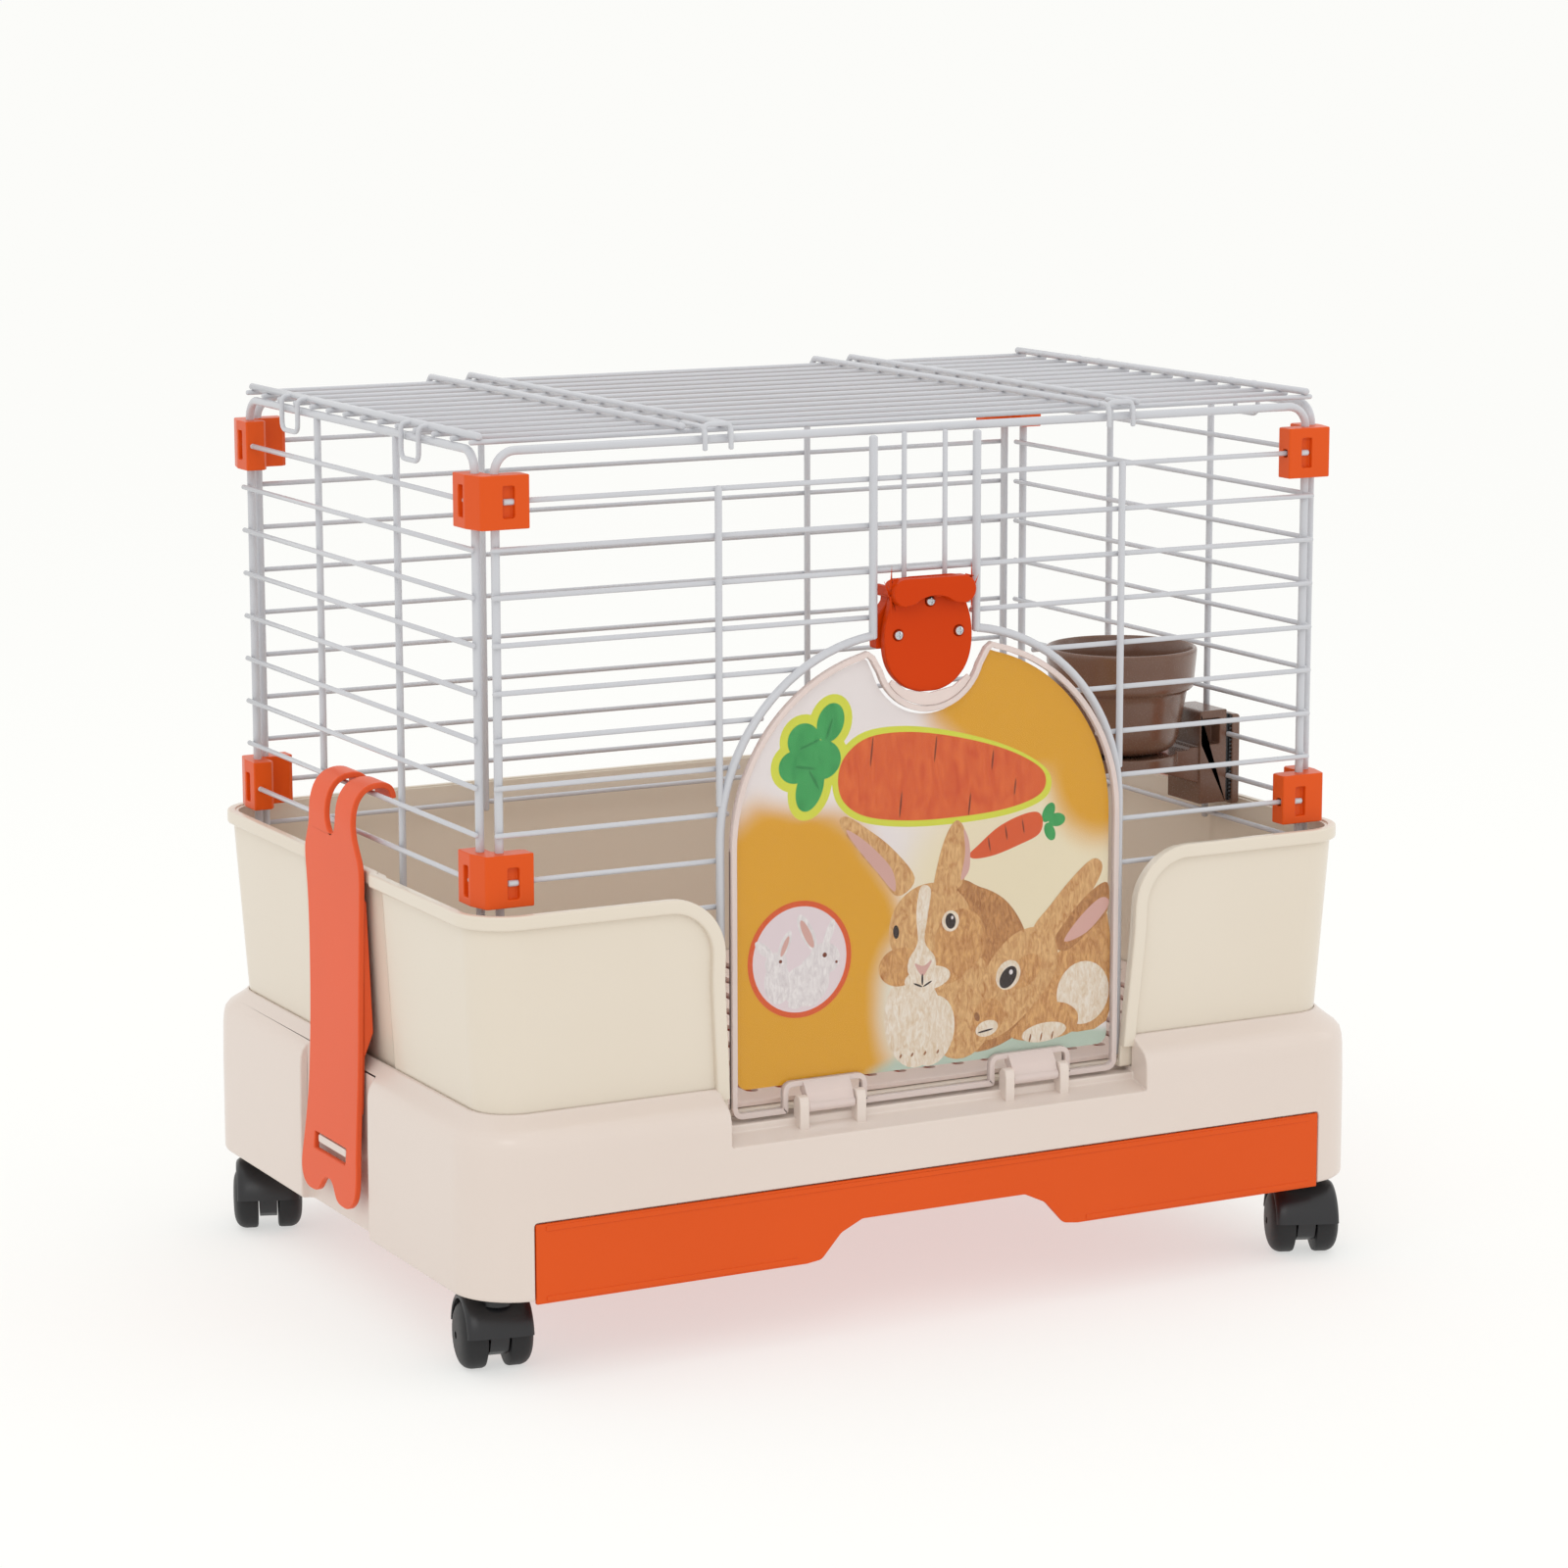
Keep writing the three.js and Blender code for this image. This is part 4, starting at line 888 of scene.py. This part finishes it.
    # Brown rabbit looking in from the right
    blob([(129, 236), (112, 226), (92, 214), (78, 196), (74, 172), (129, 168)], "tan_side")
    oval(112, 188, 19, 20, 0, "cream")
    blob([(76, 232), (88, 246), (104, 262), (118, 272), (125, 268), (122, 258), (108, 240), (92, 224)], "tan")
    blob([(90, 222), (102, 238), (116, 251), (129, 256), (129, 238), (118, 228), (100, 216)], "tan_deep")
    blob([(98, 222), (108, 235), (122, 246), (129, 246), (129, 240), (114, 226)], "pink")
    blob([(34, 176), (36, 196), (46, 216), (62, 230), (80, 233), (92, 224), (92, 204), (78, 186), (58, 170),
        (42, 166)], "tan")
    for row in ((44, 180, 11, 12, -30, "tan_side"), (43, 173, 8, 5, 10, "cream"),
            (70, 206, 13, 9, 40, "tan_side"), (58, 205, 8.4, 9.6, -34, "cream"),
            (58, 203.6, 5.2, 7.6, -38, "dark"), (60, 206.6, 1.3, 1.6, 0, "snow"),
            (36, 181, 1.8, 3, 20, "tan_shade"), (42, 171.6, 5.6, 0.6, 8, "dark")):
        oval(*row)
    blob([(60, 166), (72, 178), (94, 184), (108, 176), (104, 164), (80, 161)], "tan_side")
    oval(84, 166, 16, 6, 4, "cream")
    for x in (74, 82, 90):
        oval(x, 163.4, 0.6, 2.6, -12, "tan_shade")
    piece("label_picture", g, list(prints.values()), "door", flat=False)


def build_latch():
    half = [(0, 386), (8, 386.6), (17, 390.4), (24.6, 397.8), (28.8, 407), (30.2, 418), (29.2, 429),
        (26.4, 438), (24.2, 446),
        (24, 450)]
    outline = mirrored(smooth_line(half, 4)[1:])
    pits = [Geo().lathe([(0.01, -199), (3.7, -199), (3.2, -195.4), (0.01, -195.4)], (x, 0, z), "y", 24)
        for x, z in ((1, 440.8), (-20.9, 421.5), (20.9, 421.5))]
    front = Geo().prism(outline, "xz", -196.5, -190.3)
    piece("latch_front", front, LATCH, "cage", ["latch_front_shell"], pits, bevel=1.0, steps=3)
    back = mirrored(rounded([(0, 413), (32.2, 413), (32.4, 424), (31.6, 433), (25, 441), (24.2, 450)],
        [0, 1.5, 3, 3, 3, 0], 4)[1:])
    low = mirrored(smooth_line([(0, 389.6), (12, 392), (20.6, 398), (25.2, 406), (26.6, 414)], 4)[1:])
    g = Geo().prism(back, "xz", -190, -181)
    g.prism(low, "xz", -190, -185.4)
    piece("latch_back", g, LATCH, "cage", ["latch_back_shell"], bevel=0.8, steps=3)
    wave = smooth_line([(-20.6, 439.2), (-14, 440.4), (-8, 443.6), (0, 445), (8, 443.6), (14, 440.4),
        (20.6, 439.2)], 5)
    right = arc(19.8, 447.6, 8.4, -82, 82, 12)
    left = [(-x, z) for x, z in right]
    body = Geo().prism(wave[:-1] + right + left[::-1], "xz", -205, -197.4)
    shelf = rounded([(-28.2, 444), (28.2, 444), (28.2, 453.6), (23.6, 455.6), (-23.6, 455.6), (-28.2, 453.6)],
        [3, 3, 3, 2, 2, 3], 4)
    joins = [Geo().prism(shelf, "xz", -199.6, -180.6)]
    hollow = [(-197.1, 430), (-197.1, 452.4), (-192.5, 452.4), (-192.5, 451.4), (-168, 451.4), (-168, 430)]
    cutters = [Geo().prism(hollow, "yz", -24.8, 24.8), Geo().block(-34, 34, -192.7, -169, 451.2, 468)]
    piece("latch_cap_shell", body, LATCH, "latch_cap", ["latch_press_cap"], cutters, joins,
        bevel=1.0, steps=3)
    for i, (x, z) in enumerate(((1, 440.8), (-20.9, 421.5), (20.9, 421.5))):
        head = Geo().lathe([(0.01, -198.4), (1.6, -198.2), (2.6, -197.6), (3.0, -196.7), (3.0, -195.8),
            (0.01, -195.8)], (x, 0, z), "y", 28)
        slots = [Geo().block(x - 2, x + 2, -199.5, -197.6, z - 0.4, z + 0.4),
            Geo().block(x - 0.4, x + 0.4, -199.5, -197.6, z - 2, z + 2)]
        piece(f"latch_screw_head_{i + 1}", head, STEEL, "cage", [f"latch_screw_{i + 1}"], slots,
            bevel=0.12, steps=2)


# ---------------------------------------------------------------- side straps


STRAP_HALF_THICK = 1.9


def build_straps():
    middle = [(313.6, 58), (312.2, 76), (311, 90), (310.2, 100), (308.6, 120), (307.5, 138), (306.4, 166),
        (305.8, 194), (305.3, 226), (305.2, 254), (305.8, 282), (306.3, 298), (306.3, 306),
        (305.2, 313.6),
        (302.5, 320.2), (298, 325), (291.6, 327.2), (285.4, 327), (281.6, 324.9), (280, 321.4),
        (279.6, 318.6)]
    curve = smooth_line(middle, 3)
    outer, inner = [], []
    for i, p in enumerate(curve):
        a, b = Vector(curve[max(0, i - 1)]), Vector(curve[min(len(curve) - 1, i + 1)])
        t = (b - a).normalized()
        n = Vector((t.y, -t.x))
        outer.append(tuple(Vector(p) + n * STRAP_HALF_THICK))
        inner.append(tuple(Vector(p) - n * STRAP_HALF_THICK))
    foot = [(0, 77.1), (4, 76.6), (7.6, 74.4), (11, 70.6), (14.4, 67.2), (19, 65.3), (25, 64.8), (31.4, 65.2),
        (37.6, 67.8), (42, 72.6), (43.9, 79), (43.2, 88), (41.6, 100), (39.8, 120), (39.2, 138),
        (39.2, 194), (40.6, 236), (42.4, 260), (43.4, 273), (42.4, 281.6), (38.6, 289), (35.2, 296),
        (33.8, 304),
        (33.4, 316)]
    gap = [(8, 340), (8, 312), (7.9, 305), (6.8, 299.6), (4, 295.2), (0, 293.8)]
    right = smooth_line(foot, 4)[1:] + [(33.4, 340)] + gap[:1] + smooth_line(gap[1:], 3)[:-1]
    silhouette = mirrored(right + [(0.01, 293.8)])
    for name, s in (("left", -1), ("right", 1)):
        ribbon = Geo().prism(outer + inner[::-1], "xz", -47, 47)
        keep = Geo().prism(silhouette, "yz", 262, 330)
        slot = Geo().prism(rounded([(-25.2, 91), (25.2, 91), (25.2, 101.5), (-25.2, 101.5)], 1.2, 4), "yz",
            295, 330)
        o = as_object(f"strap_{name}_work", ribbon, [STRAP])
        tool = as_object(f"strap_{name}_keep", keep, [STRAP])
        hole = as_object(f"strap_{name}_slot", slot, [STRAP])
        cut_with(o, tool, "INTERSECT")
        cut_with(o, hole, "DIFFERENCE")
        apply_all(o)
        ribs = Geo()
        for t in (-1, 1):
            rib = rounded([(304.2, 264), (300.6, 257), (297.6, 176), (303.8, 160), (304.6, 130),
                (307.6, 122), (306.4, 170), (305.4, 230)], 2, 4)
            ribs.prism(rib, "xz", *sorted((t * 35.4, t * 38.2)))
        rib_object = as_object(f"strap_{name}_rib", ribs, [STRAP])
        g, f = shape_of(o, s), shape_of(rib_object, s)
        for x in (o, tool, hole, rib_object):
            bpy.data.objects.remove(x)
        piece(f"strap_{name}", g, STRAP, f"strap_{name}", [f"side_strap_{name}"], joins=[f],
            bevel=0.9, steps=3, angle=50)


# ---------------------------------------------------------------- feeding bowl and bracket

BOWL_X, BOWL_Y = 212.8, -75


def build_bowl():
    outer = smooth_line([(0.01, 313.4), (16, 313.4), (26, 314), (33, 317), (37, 323), (39.4, 336),
        (42.6, 353.6)], 4)
    step = [(43.4, 355), (45.4, 355.8), (46.7, 357.2)]
    rim = smooth_line([(47, 360), (47.8, 369), (48.7, 379.4), (48.4, 381.7), (47, 382.3), (45.8, 381)], 3)
    inner = smooth_line([(45, 371), (43.6, 358), (40.2, 351), (37, 334), (34.6, 324), (30, 318.6),
        (20, 317.2),
        (0.01, 317)], 4)
    piece("bowl", Geo().lathe(outer + step + rim + inner, (BOWL_X, BOWL_Y, 0), n=72), BROWN, "bowl",
        ["feeding_bowl"], sharp=60, flat=False)


def build_bracket():
    y0, y1 = -94, -56
    block = rounded([(261.9, 276.8), (282.6, 276.8), (282.6, 338), (261.9, 338)], [1, 0.6, 0.6, 3], 5)
    g = Geo().prism(block, "xz", y0, y1)
    arm = rounded([(196, 303.4), (222, 303.4), (264, 289.8), (264, 314.4), (256, 314.4), (254, 312.9),
        (196, 312.9)],
        [0, 6, 0, 0, 1, 1, 0], 5)
    joins = [Geo().prism(arm, "xz", y0 + 1.5, y1 - 1.5),
        Geo().lathe([(0.01, 304.2), (36.6, 304.2), (37, 305), (37, 312.2), (36.4, 312.9), (0.01, 312.9)],
        (BOWL_X, BOWL_Y, 0), n=64)]
    cutters = [Geo().prism(rounded([(263.8, 315.6), (277.2, 315.6), (277.2, 332.8), (263.8, 332.8)], 1.2, 4),
        "xz", y0 - 1, y0 + 10)]
    piece("bracket", g, BROWN, "cage", ["bowl_bracket"], cutters, joins, bevel=0.8, steps=3)
    # Painted shade: the teeth and their backing strip are black castor plastic, standing in for the shade in
    # the gap between the block and the clamp plate.
    teeth = Geo()
    z = 277.4
    while z < 333:
        teeth.prism([(284.6, z), (286.9, z + 1.1), (284.6, z + 2.2)], "xz", y0, y1)
        z += 2.6
    teeth.block(282.7, 284.7, y0 + 1, y1 - 1, 278, 335)
    clamp = rounded([(286.8, 275), (292.8, 275), (292.8, 334.4), (286.8, 334.4)], [0.6, 2, 3, 1], 5)
    piece("bracket_clamp", Geo().prism(clamp, "xz", y0, y1), BROWN, "cage", ["bowl_clamp_plate"],
        [Geo().block(286, 290.3, -63.9, -58.9, 270, 340)], bevel=0.8, steps=3)
    piece("bracket_teeth_painted_gap_shade", teeth, BLACK, "cage", flat=True)
    head = Geo().lathe([(0.01, 293.1), (5, 293.1), (5, 295.2), (4, 296.1), (0.01, 296.2)],
        (0, -74, 307.7), "x", 28)
    piece("bracket_screw", head, STEEL, "cage", ["bowl_clamp_screw"],
        [Geo().block(295.3, 298, -77.4, -70.6, 307.2, 308.2)], bevel=0.15, steps=2)


# ---------------------------------------------------------------- castors


def build_castors():
    wheel_r, trail = 20.5, 13
    for tag, x, y, turn, ahead in (("front_left", -283, -184, -11, -1), ("front_right", 283, -184, -23, 1),
            ("rear_left", -283, 184, -20, 1), ("rear_right", 283, 184, 23, -1)):
        place = Matrix.Translation((x, y, 0)) @ Matrix.Rotation(math.radians(turn), 4, "Z") \
            @ Matrix.Translation((0, -trail * ahead, 0))
        hood = Geo()
        across = [(-20.2, 22.4), (-19.6, 24.2), (-17.6, 25.6), (-13, 26.4), (0, 26.7), (13, 26.4),
            (17.6, 25.6), (19.6, 24.2), (20.2, 22.4), (19.6, 21.7), (0, 21.6),
            (-19.6, 21.7)]
        rings = []
        for u, v in arc(0, 0, 1, 8, 172, 32):
            rings.append([(h, r * u, wheel_r + r * v) for h, r in across])
        hood.rings(rings)
        web = arc(0, wheel_r, 23.6, 18, 162, 20) + [(-20, 20.5), (-17, 14), (-11, 10), (11, 10), (17, 14),
            (20, 20.5)]
        joins = [Geo().prism(web, "yz", -5.6, 5.6),
            Geo().lathe([(0.01, 41.6), (8.6, 41.6), (8.1, 49.4), (7.4, 50.1), (0.01, 50.1)],
            (0, trail * ahead, 0), n=32),
            Geo().lathe([(0.01, 47), (4, 47), (4, 72.4), (3.4, 73), (0.01, 73)],
            (0, trail * ahead, 0), n=24)]
        for g in [hood] + joins:
            g.moved(place)
        body = f"castor_{tag}"
        piece(f"{body}_fork", hood, BLACK, body, [f"{body}_housing"], joins=joins)
        axle = Geo().lathe([(0.01, -18.6), (1.7, -18.6), (1.95, -18.2), (1.95, 18.2), (1.7, 18.6),
            (0.01, 18.6)],
            (0, 0, wheel_r), "x", 20).moved(place)
        piece(f"{body}_pin", axle, STEEL, body, [f"{body}_axle"], flat=False)
        for side, s in (("left", -1), ("right", 1)):
            tread = [(2.4, 6.6), (18.6, 6.5), (20, 7.0), (20.5, 8.4), (20.5, 14.6)]
            tread += smooth_line([(20.2, 16), (19.2, 18.2), (17, 20.2), (13.4, 21.6), (8.6, 22.2),
                (2.4, 22.4)], 3)
            if s < 0:
                tread = [(r, -h) for r, h in tread]
            wheel = Geo().lathe(tread, (0, 0, wheel_r), "x", 56).moved(place)
            piece(f"{body}_wheel_{side}_roll", wheel, TYRE, f"{body}_wheel_{side}",
                [f"{body}_wheel_{side}"], sharp=50, flat=False)


# ---------------------------------------------------------------- stage, light and camera


def build_stage():
    floor = Geo().put([(-400000, -400000, -0.2), (400000, -400000, -0.2), (400000, 400000, -0.2),
        (-400000, 400000, -0.2)],
        [(0, 1, 2, 3)])
    paper = moulded("studio_floor", (170, 170, 168), rough=0.9, vary=0.0, grain=0.0, specular=0.0)
    shader = paper.node_tree.nodes["Principled BSDF"]
    fill(shader, Emission_Color=(1.0, 1.0, 0.985, 1), Emission_Strength=0.57)
    o = as_object("studio_floor", floor, [paper])
    world = bpy.data.worlds.new("studio")
    SCENE.world = world
    world.use_nodes = True
    world.node_tree.nodes["Background"].inputs["Color"].default_value = (1.0, 1.0, 0.985, 1)
    world.node_tree.nodes["Background"].inputs["Strength"].default_value = 1.0
    lamps = (("key", (-1.5, -2.2, 2.4), (1.2, 1.2), 9), ("top", (0.2, 0.1, 2.4), (1.6, 1.2), 4),
        ("side", (2.6, -1.2, 1.3), (1.0, 1.4), 3))
    for name, where, size, power in lamps:
        data = bpy.data.lights.new(name, "AREA")
        data.shape = "RECTANGLE"
        data.size, data.size_y = size
        data.energy = power
        lamp = bpy.data.objects.new(name, data)
        SCENE.collection.objects.link(lamp)
        lamp.location = where
        lamp.rotation_euler = (Vector((0, 0, 0.25)) - Vector(where)).to_track_quat("-Z", "Y").to_euler()


def build_camera():
    data = bpy.data.cameras.new("camera")
    data.sensor_width = 36
    data.lens = 103.142
    data.clip_end = 1500
    camera = bpy.data.objects.new("camera", data)
    SCENE.collection.objects.link(camera)
    camera.matrix_world = Matrix.Translation((-1.3238, -2.5098, 0.8154)) \
        @ Matrix.Rotation(math.radians(-27.912), 4, "Z") @ Matrix.Rotation(math.radians(90 - 10.336), 4,
        "X") \
        @ Matrix.Rotation(math.radians(-0.093), 4, "Z")
    SCENE.camera = camera
    SCENE.view_settings.view_transform = "Standard"


build_base()
build_tub()
build_drawer()
build_grid()
build_front_panel()
build_other_panels()
build_roof()
build_clips()
build_door()
build_label()
build_latch()
build_straps()
build_bowl()
build_bracket()
build_castors()
build_stage()
build_camera()
